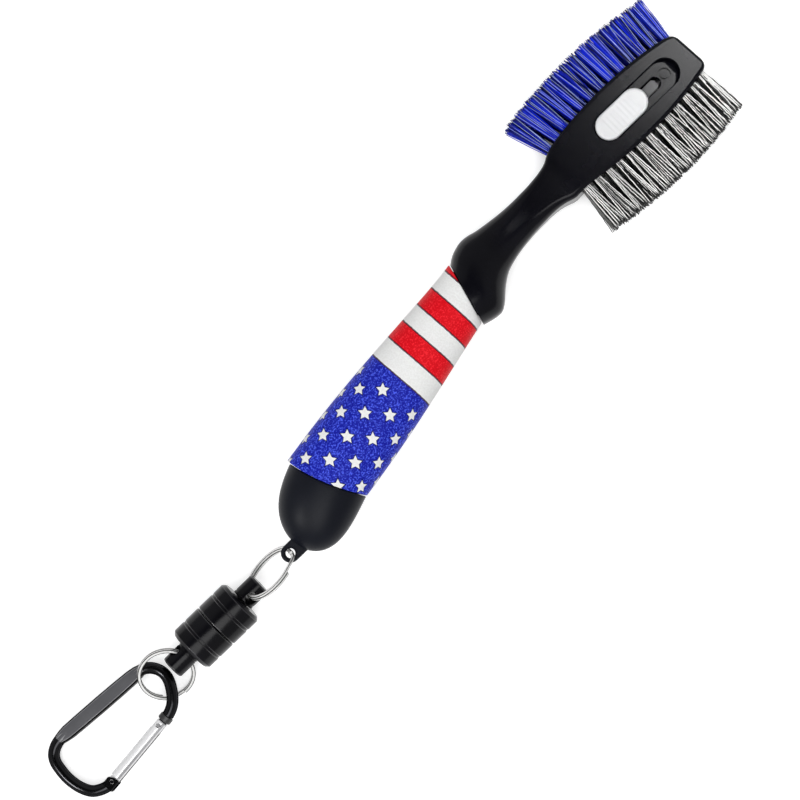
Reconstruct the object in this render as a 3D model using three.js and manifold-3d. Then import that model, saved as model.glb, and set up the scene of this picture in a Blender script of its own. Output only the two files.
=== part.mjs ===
// Club groove brush, lying face up.
//
// A black moulded frame (head, neck, finger collar and grip core) carries nylon tufts along one edge
// of its head and wire tufts along the other. A white button on the head's face slides a steel spike
// out of the tip. The grip is wrapped in a printed sleeve and ends in a butt cap with a drilled lug,
// from which hang a split ring, a magnetic clasp that parts in the middle, a second split ring and a
// small carabiner.
//
// Millimetres. +X runs along the head towards its tip, +Y to the nylon side, +Z out of the face that
// the button is on. The origin is the centre of the head's flat back, on which the brush lies.

import * as THREE from 'three';
import { mergeVertices } from 'three/addons/utils/BufferGeometryUtils.js';
import Module from 'manifold-3d';

const wasm = await Module();
wasm.setup();

// ---------------------------------------------------------------- driving dimensions

const GAP = 0.3; // between pieces that meet

// head
const HEAD_FRONT = 28.4; // origin to the tip face
const HEAD_REAR = 27.5; // origin back to where the bristles begin
const HEAD_WIDTH = 20.9;
const HEAD_TIP_WIDTH = 14.4;
const HEAD_REAR_WIDTH = 15.8;
const HEAD_THICKNESS = 15;
const HEAD_EDGE_RADIUS = 1.2;
const HEAD_TIP_CORNER = 2.2;

// neck and finger collar
const NECK_LENGTH = 48; // from where the bristles begin to the collar's face
const NECK_WIDTH = 11.7;
const NECK_THICKNESS = 12.6;
const COLLAR_WIDTH = 23.2;
const COLLAR_THICKNESS = 19.4;
const COLLAR_SLANT = 23.7; // degrees, between the collar's face and a square cut

// grip
const GRIP_ANGLE = 9.3; // degrees, between the grip and the head
const GRIP_DROP = 5.96; // of the grip's line below the head's line, at the collar
const GRIP_LENGTH = 74.5; // collar to butt cap, along the middle
const GRIP_ROOT_WIDTH = 18.9;
const GRIP_WIDTH = 26.5;
const GRIP_ROOT_THICKNESS = 18.4;
const GRIP_THICKNESS = 20.8;
const SLEEVE_WALL = 2;
const CORE_BORE = 8.6;

// butt cap and its lug
const BUTT_LENGTH = 20.6; // along the middle
const BUTT_OFFSET = 4.7; // of the butt's nose, towards the wire side
const BUTT_PLUG_LENGTH = 14;
const LUG_REACH = 3.3; // butt's nose to the centre of the lug's hole
const LUG_THICKNESS = 2.6;
const LUG_RADIUS = 3;
const LUG_HOLE = 3.6;
const LUG_HOLE_MOUTH = 4.8;

// slider: button, carriage and spike
const BUTTON_LENGTH = 19.6;
const BUTTON_CENTRE = -1; // along X, with the spike drawn in
const BUTTON_PROUD = 1.8; // above the head's face
const BUTTON_STEM = 4;
const BUTTON_RIBS = 7;
const RECESS_WIDTH = 9.4;
const RECESS_DEPTH = 1.6;
const RECESS_FLOOR = 1.6; // its thickness
const RECESS_POCKET = 1.9; // reach of the crescent pocket at its front end
const RECESS_POCKET_DEPTH = 0.8;
const SPIKE_TRAVEL = 13.2;
const SPIKE_DIAMETER = 2.4;
const SPIKE_HEIGHT = 6.5; // its axis above the head's back
const SPIKE_SETBACK = 0.8; // of its point behind the tip face, drawn in
const SPIKE_POINT = 4.5;
const SLOT_WIDTH = 4;
const CHANNEL_WIDTH = 7.6;
const CARRIAGE_REAR = 9; // origin back to the carriage's end
const CARRIAGE_FRONT = 7;
const TONGUE_FRONT = 13.3;
const TONGUE_WIDTH = 3.4;
const TONGUE_THICKNESS = 1.6;
const COVER_THICKNESS = 1.7;
const COVER_LIP = 1.4; // of the cover beyond the channel
const DETENT_BALL = 2.4;
const DETENT_SINK = 0.5; // of the ball below the cover's face
const DETENT_X = -6.2;
const SPRING_WIRE = 0.4;
const DIMPLE_X = 17.6;
const DIMPLE_DIAMETER = 4.3;
const DIMPLE_DEPTH = 0.3;

// tufts
const TUFT_COLUMNS = 13;
const TUFT_ROWS = 3;
const TUFT_DIAMETER = 2.8;
const TUFT_DEPTH = 5.2;
const TUFT_ROW_PITCH = 3.75;
const TUFT_SPAN = 50.2; // first column to last
const TUFT_WALL = 1; // between the deepest tuft hole and the channel
const TUFT_STRAIGHT = 0.6; // out of the hole before it fans
const TUFT_SPREAD = 0.5; // of an outer tuft's end, across the head's thickness
const TUFT_CROWN = 0.3; // the middle tuft's end stands this much proud of its neighbours'
const TUFT_TIP_DEPTH = 5.4; // of a tuft's end, across the head's thickness
const NYLON_LENGTH = 15;
const NYLON_TIP_WIDTH = 4; // of a tuft's end, along the head
const NYLON_LEAN_REAR = -2.6; // of the first column's end, along X
const NYLON_LEAN_FRONT = 0.4;
const WIRE_LENGTH = 16.3;
const WIRE_TIP_WIDTH = 3.8;

// split rings
const UPPER_RING = 20; // outer diameter
const LOWER_RING = 18.4;
const RING_STRIP = 1.2; // radial width of the coiled strip
const RING_COIL = 0.75; // its thickness
const RING_PITCH = 0.9;
const RING_SEAT = 0.25; // of a ring's strip past the middle of the hole it hangs in
const UPPER_RING_TILT = 60; // degrees out of the lying plane
const LOWER_RING_RISE = 0.24; // rise towards the clasp, per millimetre
const LOWER_RING_ROLL = 0.56; // rise towards the nylon side, per millimetre

// magnetic clasp
const CLASP_DIAMETER = 16;
const CLASP_LENGTH = 22.6;
const CLASP_WALL = 2.3;
const CLASP_END = 2.5;
const CLASP_CHAMFER = 0.9;
const CLASP_GROOVE_FROM_SEAM = 6.1;
const CLASP_GROOVE = 1;
const CLASP_GROOVE_DEPTH = 0.4;
const MAGNET_THICKNESS = 4.5;
const EYE_DIAMETER = 7.8;
const EYE_LENGTH = 7.9;
const EYE_HOLE = 3.2;
const EYE_HOLE_MOUTH = 4.4;
const EYE_HOLE_FLARE = 1.6; // how deep the mouth is
const EYE_SPIGOT = 4;
const EYE_SCREW = 1.6;
const EYE_SCREW_HEAD = 6.4;
const UPPER_EYE_HOLE_FROM_CLASP = 3.4;
const LOWER_EYE_HOLE_FROM_CLASP = 2.6;

// carabiner
const ROD = 3.8;
const SPINE_WIDTH = 4.6;
const CARABINER_REACH = 0.5; // its end rod's axis past the lower ring's centre
const CARABINER_TILT = 3.2; // degrees, its ring end up
const CARABINER_ROLL = 5; // degrees, its gate side up
const CARABINER_SHIFT = 0.4; // towards the nylon side of the ring's centre
const GATE_LENGTH = 24.8; // hinge pin to the gate's free end
const GATE_SLANT = 5.9; // degrees
const GATE_SWING = 32; // degrees inwards, that the hinge block leaves room for
const GATE_BORE = 2.6;
const GATE_PIN = 1;
const HINGE_BLOCK = 2.4; // behind the pin
const TONGUE_IN_GATE = 3.6;
const NOSE_BAND = 2.1;
const NOSE_BAND_DIAMETER = 4.5;

// ---------------------------------------------------------------- sizes that follow

const degrees = Math.PI / 180;
const headMiddle = HEAD_THICKNESS / 2;
const buttonRear = BUTTON_CENTRE - BUTTON_LENGTH / 2;
const buttonFront = BUTTON_CENTRE + BUTTON_LENGTH / 2;
const recessRear = buttonRear - GAP;
const recessFront = buttonFront + SPIKE_TRAVEL + GAP;
const recessFloor = HEAD_THICKNESS - RECESS_DEPTH;
const channelTop = recessFloor - RECESS_FLOOR;
const channelRear = -CARRIAGE_REAR - GAP;
const channelFront = TONGUE_FRONT + SPIKE_TRAVEL + GAP;
const carriageBottom = COVER_THICKNESS + GAP;
const carriageTop = channelTop - GAP;
const carriageWidth = CHANNEL_WIDTH - 2 * GAP;
const stemBottom = SPIKE_HEIGHT + SPIKE_DIAMETER / 2 + 1.1;
const ballHeight = COVER_THICKNESS - DETENT_SINK + DETENT_BALL / 2;
const collarX = -HEAD_REAR - NECK_LENGTH;
const gripMiddle = GRIP_THICKNESS / 2;
const rodRadius = ROD / 2;

// ---------------------------------------------------------------- solids

// A closed geometry becomes a solid that can be joined and cut.
function solid(geometry) {
  const bare = geometry.clone();
  bare.deleteAttribute('normal');
  bare.deleteAttribute('uv');
  const merged = mergeVertices(bare, 1e-4);
  const corners = merged.index.array;
  const kept = [];
  for (let i = 0; i < corners.length; i += 3) {
    const [a, b, c] = [corners[i], corners[i + 1], corners[i + 2]];
    if (a !== b && b !== c && c !== a) kept.push(a, b, c);
  }
  const vertProperties = new Float32Array(merged.attributes.position.array);
  const triVerts = new Uint32Array(kept);
  return new wasm.Manifold(new wasm.Mesh({ numProp: 3, vertProperties, triVerts }));
}

// A solid becomes a geometry again.
function geometryOf(body) {
  const mesh = body.getMesh();
  const geometry = new THREE.BufferGeometry();
  geometry.setAttribute('position', new THREE.BufferAttribute(mesh.vertProperties, 3));
  geometry.setIndex(new THREE.BufferAttribute(mesh.triVerts, 1));
  geometry.computeVertexNormals();
  return geometry;
}

const join = (bodies) => bodies.reduce((sum, body) => sum.add(body));
const cut = (body, tools) => tools.reduce((left, tool) => left.subtract(tool), body);

const moved = (geometry, x, y, z) => geometry.clone().translate(x, y, z);

// Box between two corners.
function block(x0, x1, y0, y1, z0, z1) {
  const geometry = new THREE.BoxGeometry(x1 - x0, y1 - y0, z1 - z0);
  return solid(moved(geometry, (x0 + x1) / 2, (y0 + y1) / 2, (z0 + z1) / 2));
}

// Cylinder or cone from one point to another.
function rod(from, to, radius, endRadius = radius, sides = 16) {
  const start = new THREE.Vector3(...from);
  const end = new THREE.Vector3(...to);
  const along = end.clone().sub(start);
  const geometry = new THREE.CylinderGeometry(endRadius, radius, along.length(), sides);
  const turn = new THREE.Quaternion().setFromUnitVectors(
    new THREE.Vector3(0, 1, 0), along.clone().normalize());
  geometry.applyQuaternion(turn);
  const middle = start.add(end).multiplyScalar(0.5);
  return solid(moved(geometry, middle.x, middle.y, middle.z));
}

// Flat plate of an outline in XY, from one height to another.
function plate(outline, z0, z1, curveSegments = 6) {
  const geometry = new THREE.ExtrudeGeometry(outline, {
    depth: z1 - z0, bevelEnabled: false, curveSegments });
  return solid(moved(geometry, 0, 0, z0));
}

// Outline with straight sides along X and round ends.
function longRound(x0, x1, width) {
  const r = width / 2;
  const outline = new THREE.Shape();
  outline.moveTo(x0 + r, -r);
  outline.lineTo(x1 - r, -r);
  outline.absarc(x1 - r, 0, r, -Math.PI / 2, Math.PI / 2, false);
  outline.lineTo(x0 + r, r);
  outline.absarc(x0 + r, 0, r, Math.PI / 2, 1.5 * Math.PI, false);
  return outline;
}

// Body of revolution about X from a closed profile of [x, radius] points.
function turned(profile, sides = 32) {
  const points = profile.map(([x, r]) => new THREE.Vector2(r, x));
  const geometry = new THREE.LatheGeometry(points, sides);
  geometry.rotateZ(-Math.PI / 2);
  return upright(solid(geometry));
}

// A body whose faces came out turned inwards is rebuilt the right way round.
function upright(body) {
  return body.volume() < 0 ? body.mirror([0, 0, 1]).scale([1, 1, -1]) : body;
}

// Tool for a cross hole that widens towards both mouths.
function countersunkHole(centre, axis, half, straight, hole, mouth) {
  const profile = [
    [0, -half - 1], [mouth / 2, -half - 1], [mouth / 2, -half], [hole / 2, -straight],
    [hole / 2, straight], [mouth / 2, half], [mouth / 2, half + 1], [0, half + 1],
  ];
  const geometry = new THREE.LatheGeometry(profile.map(([r, y]) => new THREE.Vector2(r, y)), 14);
  geometry.applyQuaternion(new THREE.Quaternion().setFromUnitVectors(new THREE.Vector3(0, 1, 0), axis));
  return upright(solid(moved(geometry, centre.x, centre.y, centre.z)));
}

// Skin over rings of points, closed at both ends.
function skin(rings) {
  const sides = rings[0].length;
  const points = rings.flat();
  const faces = [];
  for (let k = 0; k + 1 < rings.length; k++) {
    for (let i = 0; i < sides; i++) {
      const a = k * sides + i;
      const b = k * sides + ((i + 1) % sides);
      faces.push(a, b, b + sides, a, b + sides, a + sides);
    }
  }
  const last = (rings.length - 1) * sides;
  for (let i = 1; i + 1 < sides; i++) {
    faces.push(0, i + 1, i, last, last + i, last + i + 1);
  }
  if (signedVolume(points, faces) < 0) faces.reverse();
  const geometry = new THREE.BufferGeometry();
  geometry.setAttribute('position', new THREE.Float32BufferAttribute(points.flat(), 3));
  geometry.setIndex(faces);
  return solid(geometry);
}

function signedVolume(points, faces) {
  let sum = 0;
  for (let i = 0; i < faces.length; i += 3) {
    const [a, b, c] = [points[faces[i]], points[faces[i + 1]], points[faces[i + 2]]];
    sum += a[0] * (b[1] * c[2] - b[2] * c[1])
      - a[1] * (b[0] * c[2] - b[2] * c[0])
      + a[2] * (b[0] * c[1] - b[1] * c[0]);
  }
  return sum;
}

// Ring of points in a plane across X: a rectangle whose corners are quarter ellipses.
const CORNER_STEPS = 4;
function sectionRing({ x, y, z, halfWidth, halfHeight, cornerWidth, cornerHeight }) {
  const ring = [];
  for (const [side, up, start] of [[1, 1, 0], [-1, 1, 1], [-1, -1, 2], [1, -1, 3]]) {
    for (let i = 0; i <= CORNER_STEPS; i++) {
      const angle = (start + i / CORNER_STEPS) * 90 * degrees;
      const cy = y + side * (halfWidth - cornerWidth);
      const cz = z + up * (halfHeight - cornerHeight);
      ring.push([x, cy + cornerWidth * Math.cos(angle), cz + cornerHeight * Math.sin(angle)]);
    }
  }
  return ring;
}

// Smooth step from 0 to 1.
const ease = (t) => {
  const c = Math.min(Math.max(t, 0), 1);
  return c * c * (3 - 2 * c);
};

// ---------------------------------------------------------------- head and neck

// Half width of the head at x: widest at the origin, narrowing to both ends.
function headHalfWidth(x) {
  const end = x > 0 ? HEAD_TIP_WIDTH : HEAD_REAR_WIDTH;
  const reach = x > 0 ? HEAD_FRONT : HEAD_REAR;
  return HEAD_WIDTH / 2 - ((HEAD_WIDTH - end) / 2) * (x / reach) ** 2;
}

function headStation(x, inset = 0) {
  return {
    x,
    y: 0,
    z: headMiddle,
    halfWidth: headHalfWidth(x) - inset,
    halfHeight: headMiddle,
    cornerWidth: HEAD_EDGE_RADIUS,
    cornerHeight: HEAD_EDGE_RADIUS,
  };
}

// The neck narrows behind the head, then widens to the collar, most on the wire side.
// Each row: share of the neck's length, sideways shift, width and thickness as shares of the step
// from neck to head (negative) or from neck to collar (positive), corner roundness.
const NECK_STATIONS = [
  [0.05, -1.4, -0.74, -0.8, 0.3],
  [0.12, -1.3, -0.3, -0.5, 0.45],
  [0.18, -1.2, -0.1, -0.3, 0.6],
  [0.26, -1.25, 0, -0.1, 0.72],
  [0.36, -1.35, 0.02, 0, 0.8],
  [0.47, -1.5, 0.08, 0.03, 0.84],
  [0.57, -1.65, 0.19, 0.1, 0.86],
  [0.68, -2.05, 0.38, 0.3, 0.88],
  [0.74, -2.5, 0.58, 0.5, 0.9],
  [0.8, -3.6, 0.79, 0.72, 0.9],
  [0.86, -5.3, 0.96, 0.9, 0.9],
  [0.91, -6.6, 1, 1, 0.9],
  [0.96, -7.5, 0.86, 1, 0.9],
  [1.02, -7.6, 0.74, 1, 0.9],
  [1.1, -7.2, 0.62, 0.98, 0.9],
];

function neckStation([share, shift, widthStep, thickStep, round]) {
  const towards = (step, thin, head, collar) =>
    thin + Math.abs(step) * ((step < 0 ? head : collar) - thin);
  const halfWidth = towards(widthStep, NECK_WIDTH, HEAD_REAR_WIDTH, COLLAR_WIDTH) / 2;
  const halfHeight = towards(thickStep, NECK_THICKNESS, HEAD_THICKNESS, COLLAR_THICKNESS) / 2;
  return {
    x: -HEAD_REAR - share * NECK_LENGTH,
    y: shift,
    z: headMiddle + (gripMiddle - headMiddle) * ease(share),
    halfWidth,
    halfHeight,
    cornerWidth: halfWidth * round,
    cornerHeight: halfHeight * round,
  };
}

function headAndNeck() {
  const stations = [];
  for (const angle of [0, 30, 60, 90]) {
    const back = HEAD_TIP_CORNER * (1 - Math.sin((90 - angle) * degrees));
    const inset = HEAD_TIP_CORNER * (1 - Math.sin(angle * degrees));
    stations.push(headStation(HEAD_FRONT - back, inset));
  }
  for (const x of [22, 17, 11, 4, -3, -10, -17, -23]) stations.push(headStation(x));
  stations.push(...NECK_STATIONS.map(neckStation));
  return skin(stations.map(sectionRing));
}

// ---------------------------------------------------------------- grip

// The grip's own frame: +X from the collar to the butt, +Y to the wire side, +Z up.
const gripFrame = new THREE.Group();
gripFrame.position.set(collarX - 0.07, -GRIP_DROP, 0);
gripFrame.rotation.z = Math.PI + GRIP_ANGLE * degrees;
gripFrame.updateMatrixWorld();

// How far the grip has swelled at u, from 0 at the collar to 1 near the butt.
function gripSwell(u) {
  const share = Math.min(Math.max(u / (0.91 * GRIP_LENGTH), 0), 1);
  return Math.sin((Math.PI / 2) * share) ** 1.25;
}

// Section of the grip at u, drawn in by a wall all round.
function gripStation(u, wall) {
  const halfWidth = (GRIP_ROOT_WIDTH + (GRIP_WIDTH - GRIP_ROOT_WIDTH) * gripSwell(u)) / 2 - wall;
  const halfHeight =
    (GRIP_ROOT_THICKNESS + (GRIP_THICKNESS - GRIP_ROOT_THICKNESS) * gripSwell(u)) / 2 - wall;
  const round = 0.92;
  return {
    x: u,
    y: 0,
    z: gripMiddle,
    halfWidth,
    halfHeight,
    cornerWidth: halfWidth * round,
    cornerHeight: halfHeight * round,
  };
}

const GRIP_STEPS = 12;
function gripLoft(from, to, wall) {
  const rings = [];
  for (let i = 0; i <= GRIP_STEPS; i++) {
    rings.push(sectionRing(gripStation(from + ((to - from) * i) / GRIP_STEPS, wall)));
  }
  return skin(rings);
}

const FAR = 60; // half size of the tools that trim the grip's ends

// Everything on the butt side of the collar's slanted face, moved back by a clearance.
function beyondCollar(clearance) {
  const slope = Math.tan(COLLAR_SLANT * degrees);
  const start = clearance / Math.cos(COLLAR_SLANT * degrees);
  const outline = new THREE.Shape();
  outline.moveTo(start - FAR * slope, -FAR);
  outline.lineTo(4 * FAR, -FAR);
  outline.lineTo(4 * FAR, FAR);
  outline.lineTo(start + FAR * slope, FAR);
  return plate(outline, -FAR, FAR);
}

// Where the sleeve ends and the butt cap begins: a shallow curve, further back on the nylon side.
const buttCurve = (v) => GRIP_LENGTH - 0.235 * v - 0.0085 * v * v;

// Everything on the butt side of that curve, moved back by a clearance.
function beyondButtCurve(clearance) {
  const outline = new THREE.Shape();
  const reach = 20;
  outline.moveTo(2 * FAR, -reach);
  outline.lineTo(2 * FAR, reach);
  for (let v = reach; v >= -reach; v -= 2.5) outline.lineTo(buttCurve(v) + clearance, v);
  return plate(outline, -FAR, FAR);
}

function gripSleeve() {
  const outside = gripLoft(-8, GRIP_LENGTH + 8, 0);
  const inside = gripLoft(-9, GRIP_LENGTH + 9, SLEEVE_WALL);
  const body = outside.intersect(beyondCollar(GAP));
  return cut(body, [inside, beyondButtCurve(-GAP)]);
}

function gripCore() {
  const body = gripLoft(-4, GRIP_LENGTH + 8, SLEEVE_WALL + GAP);
  const bore = rod([4, 0, gripMiddle], [GRIP_LENGTH + 20, 0, gripMiddle], CORE_BORE / 2);
  return cut(body, [beyondButtCurve(-GAP), bore]);
}

// ---------------------------------------------------------------- butt cap

const BUTT_START = 4.5; // the bulb's loft starts this far inside the sleeve's end

function buttStation(share) {
  const grip = gripStation(GRIP_LENGTH - BUTT_START, 0);
  const halfWidth = grip.halfWidth * Math.sqrt(1 - share ** 3.5);
  const halfHeight = grip.halfHeight * Math.sqrt(1 - share ** 2.8);
  return {
    x: GRIP_LENGTH - BUTT_START + share * (BUTT_LENGTH + BUTT_START),
    y: BUTT_OFFSET * share,
    z: gripMiddle,
    halfWidth,
    halfHeight,
    cornerWidth: halfWidth * 0.95,
    cornerHeight: halfHeight * 0.95,
  };
}

const lugHole = new THREE.Vector3(GRIP_LENGTH + BUTT_LENGTH + LUG_REACH, BUTT_OFFSET + 0.2, gripMiddle);

function buttCap() {
  const shares = [0, 0.2, 0.35, 0.5, 0.62, 0.73, 0.82, 0.9, 0.95, 0.98, 0.997];
  const stations = shares.map(buttStation);
  const early = { ...stations[0], x: GRIP_LENGTH - 12 };
  const bulb = skin([early, ...stations].map(sectionRing)).intersect(beyondButtCurve(0));
  const plug = rod(
    [GRIP_LENGTH - BUTT_PLUG_LENGTH, 0, gripMiddle],
    [GRIP_LENGTH + BUTT_LENGTH / 2, 0, gripMiddle],
    CORE_BORE / 2 - GAP);
  return cut(join([bulb, plug, buttLug()]), [lugHoleTool()]);
}

// The lug points along the head's line, so it is turned back by the grip's angle.
function buttLug() {
  const outline = longRound(-LUG_RADIUS, 4 * LUG_RADIUS, 2 * LUG_RADIUS);
  const geometry = new THREE.ExtrudeGeometry(outline, {
    depth: LUG_THICKNESS, bevelEnabled: false, curveSegments: 8 });
  geometry.translate(0, 0, -LUG_THICKNESS / 2);
  geometry.rotateZ(Math.PI - GRIP_ANGLE * degrees);
  return solid(moved(geometry, lugHole.x, lugHole.y, lugHole.z));
}

function lugHoleTool() {
  const half = LUG_THICKNESS / 2;
  return countersunkHole(lugHole, new THREE.Vector3(0, 0, 1), half, half / 3, LUG_HOLE, LUG_HOLE_MOUTH);
}

// ---------------------------------------------------------------- tufts

const columnX = (i) => (i / (TUFT_COLUMNS - 1) - 0.5) * TUFT_SPAN;
const rowHeight = (row) => headMiddle + 0.25 + (row - (TUFT_ROWS - 1) / 2) * TUFT_ROW_PITCH;

// How deep a tuft hole may go at x before it meets the slider's channel.
function tuftDepth(x) {
  return Math.min(TUFT_DEPTH, headHalfWidth(x) - CHANNEL_WIDTH / 2 - TUFT_WALL);
}

// Six-sided ring of points round a tuft.
function tuftRing(x, y, z, halfWidth, halfDepth = halfWidth) {
  const ring = [];
  for (let i = 0; i < 6; i++) {
    const angle = i * 60 * degrees;
    ring.push([x + halfWidth * Math.cos(angle), y, z + halfDepth * Math.sin(angle)]);
  }
  return ring;
}

function tuftHoles() {
  const radius = TUFT_DIAMETER / 2 + GAP / Math.cos(30 * degrees);
  const holes = [];
  for (let i = 0; i < TUFT_COLUMNS; i++) {
    const x = columnX(i);
    const surface = headHalfWidth(x);
    for (let row = 0; row < TUFT_ROWS; row++) {
      for (const side of [1, -1]) {
        const bottom = tuftRing(x, side * (surface - tuftDepth(x)), rowHeight(row), radius);
        const mouth = tuftRing(x, side * (surface + 1), rowHeight(row), radius);
        holes.push(skin([bottom, mouth]));
      }
    }
  }
  return holes;
}

// One column: its tufts stand straight in their holes, then fan and spread until their ends meet.
// Measured from the head's surface, outwards along +Y.
function tuftColumn({ depth, length, tipWidth, lean }) {
  const root = TUFT_DIAMETER / 2;
  const tufts = [];
  for (let row = 0; row < TUFT_ROWS; row++) {
    const offset = row - (TUFT_ROWS - 1) / 2;
    const z = rowHeight(row);
    const end = length - TUFT_CROWN * Math.abs(offset);
    tufts.push(skin([
      tuftRing(0, GAP - depth, z, root),
      tuftRing(0, TUFT_STRAIGHT, z, root),
      tuftRing(lean, end, z + TUFT_SPREAD * offset, tipWidth / 2, TUFT_TIP_DEPTH / 2),
    ]));
  }
  return join(tufts);
}

// ---------------------------------------------------------------- handle frame

function handleFrame() {
  const collarTool = geometryOf(beyondCollar(0)).applyMatrix4(gripFrame.matrixWorld);
  const core = geometryOf(gripCore()).applyMatrix4(gripFrame.matrixWorld);
  const shell = headAndNeck().subtract(solid(collarTool));
  return cut(shell.add(solid(core)), [
    plate(longRound(recessRear, recessFront, RECESS_WIDTH), recessFloor, HEAD_THICKNESS + 1, 10),
    plate(longRound(slotRear, slotFront, SLOT_WIDTH), channelTop - 0.5, HEAD_THICKNESS, 6),
    block(channelRear, channelFront, -CHANNEL_WIDTH / 2, CHANNEL_WIDTH / 2, -1, channelTop),
    coverPlate(GAP, -1, COVER_THICKNESS + GAP),
    rod([DIMPLE_X, 0, recessFloor - DIMPLE_DEPTH], [DIMPLE_X, 0, HEAD_THICKNESS], DIMPLE_DIAMETER / 2),
    recessPocket(),
    rod([channelFront - 1, 0, SPIKE_HEIGHT], [HEAD_FRONT + 1, 0, SPIKE_HEIGHT],
      SPIKE_DIAMETER / 2 + GAP),
    ...tuftHoles(),
  ]);
}

// Crescent between the recess floor's round front end and the recess wall.
function recessPocket() {
  const bottom = recessFloor - RECESS_POCKET_DEPTH;
  const floorEnd = recessFront - RECESS_POCKET;
  return plate(longRound(0, recessFront, RECESS_WIDTH), bottom, HEAD_THICKNESS, 10)
    .subtract(plate(longRound(-1, floorEnd, RECESS_WIDTH), bottom - 1, HEAD_THICKNESS + 1, 10));
}

const slotRear = BUTTON_CENTRE - BUTTON_STEM / 2 - GAP;
const slotFront = BUTTON_CENTRE + BUTTON_STEM / 2 + SPIKE_TRAVEL + GAP;

// Outline of the channel cover, grown by a clearance.
function coverPlate(clearance, z0, z1) {
  const grow = COVER_LIP - GAP + clearance;
  const half = CHANNEL_WIDTH / 2 + grow;
  const outline = new THREE.Shape();
  outline.moveTo(channelRear - grow, -half);
  outline.lineTo(channelFront - GAP + clearance, -half);
  outline.lineTo(channelFront - GAP + clearance, half);
  outline.lineTo(channelRear - grow, half);
  return plate(outline, z0, z1);
}

// Plate with a groove that the detent ball runs in and a deeper pocket at each end of its travel.
function channelCover() {
  const width = DETENT_BALL / 2 + GAP;
  const grooveBottom = COVER_THICKNESS - DETENT_SINK - GAP;
  const ends = [DETENT_X, DETENT_X + SPIKE_TRAVEL];
  const pockets = ends.map((x) =>
    rod([x, 0, grooveBottom - 0.3], [x, 0, COVER_THICKNESS + 1], width, width, 12));
  const groove = block(ends[0], ends[1], -width, width, grooveBottom, COVER_THICKNESS + 1);
  return cut(coverPlate(0, 0, COVER_THICKNESS), [groove, ...pockets]);
}

// ---------------------------------------------------------------- slider

function sliderButton() {
  const width = RECESS_WIDTH - 2 * GAP;
  const bottom = recessFloor + GAP;
  const top = HEAD_THICKNESS + BUTTON_PROUD;
  const edge = 0.7;
  const geometry = new THREE.ExtrudeGeometry(
    longRound(buttonRear, buttonFront, width), {
      depth: top - bottom - edge,
      bevelThickness: edge,
      bevelSize: edge,
      bevelOffset: -edge,
      bevelSegments: 2,
      curveSegments: 8,
    });
  const whole = solid(moved(geometry, 0, 0, bottom));
  const trimmed = whole.subtract(
    block(buttonRear - 1, buttonFront + 1, -width, width, bottom - 2, bottom));
  const stemOutline = longRound(slotRear + GAP, slotRear + GAP + BUTTON_STEM, SLOT_WIDTH - 2 * GAP);
  const stem = plate(stemOutline, stemBottom, bottom + 1);
  return cut(trimmed.add(stem), ribGrooves(width, top));
}

// Shallow grooves across the button leave the ribs between them.
function ribGrooves(width, top) {
  const depth = 0.35;
  const pitch = (BUTTON_LENGTH - width) / BUTTON_RIBS;
  const grooves = [];
  for (let i = 0; i <= BUTTON_RIBS; i++) {
    const x = BUTTON_CENTRE + (i - BUTTON_RIBS / 2) * pitch;
    grooves.push(block(
      x - pitch / 5, x + pitch / 5, 0.9 - width / 2, width / 2 - 0.9, top - depth, top + 1));
  }
  return grooves;
}

function spikeCarriage() {
  const half = carriageWidth / 2;
  const body = block(-CARRIAGE_REAR, CARRIAGE_FRONT, -half, half, carriageBottom, carriageTop);
  const t = TONGUE_WIDTH / 2;
  const chamfer = 0.8;
  const tongue = new THREE.Shape();
  tongue.moveTo(CARRIAGE_FRONT - 1, -t);
  tongue.lineTo(TONGUE_FRONT - chamfer, -t);
  tongue.lineTo(TONGUE_FRONT, -t + chamfer);
  tongue.lineTo(TONGUE_FRONT, t - chamfer);
  tongue.lineTo(TONGUE_FRONT - chamfer, t);
  tongue.lineTo(CARRIAGE_FRONT - 1, t);
  const stemHalf = BUTTON_STEM / 2 + GAP;
  return cut(body.add(plate(tongue, carriageTop - TONGUE_THICKNESS, carriageTop)), [
    block(BUTTON_CENTRE - stemHalf, BUTTON_CENTRE + stemHalf,
      -SLOT_WIDTH / 2, SLOT_WIDTH / 2, stemBottom - GAP, carriageTop + 1),
    rod([spikeRear - GAP, 0, SPIKE_HEIGHT], [CARRIAGE_FRONT + 1, 0, SPIKE_HEIGHT],
      SPIKE_DIAMETER / 2 + GAP),
    rod([DETENT_X, 0, carriageBottom - 1], [DETENT_X, 0, springTop + SPRING_WIRE / 2 + GAP],
      DETENT_BALL / 2 + GAP, DETENT_BALL / 2 + GAP, 14),
  ]);
}

const spikeRear = -2;
const springBottom = ballHeight + DETENT_BALL / 2 + GAP + SPRING_WIRE / 2;
const springTop = springBottom + 3;

function spike() {
  const tip = HEAD_FRONT - SPIKE_SETBACK;
  const r = SPIKE_DIAMETER / 2;
  return turned([[spikeRear, 0], [spikeRear, r], [tip - SPIKE_POINT, r], [tip, 0]], 16);
}

function detentBall() {
  return solid(new THREE.SphereGeometry(DETENT_BALL / 2, 12, 8));
}

// Helix of wire round the Z axis.
class Helix extends THREE.Curve {
  constructor(radius, bottom, top, turns) {
    super();
    Object.assign(this, { radius, bottom, top, turns });
  }

  getPoint(t, target = new THREE.Vector3()) {
    const angle = 2 * Math.PI * this.turns * t;
    const z = this.bottom + (this.top - this.bottom) * t;
    return target.set(this.radius * Math.cos(angle), this.radius * Math.sin(angle), z);
  }
}

function coilSpring(radius, wire, bottom, top, turns) {
  const section = new THREE.Shape();
  section.absarc(0, 0, wire / 2, 0, 2 * Math.PI, false);
  return solid(new THREE.ExtrudeGeometry(section, {
    steps: turns * 8, curveSegments: 4, extrudePath: new Helix(radius, bottom, top, turns) }));
}

// ---------------------------------------------------------------- split rings

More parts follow.
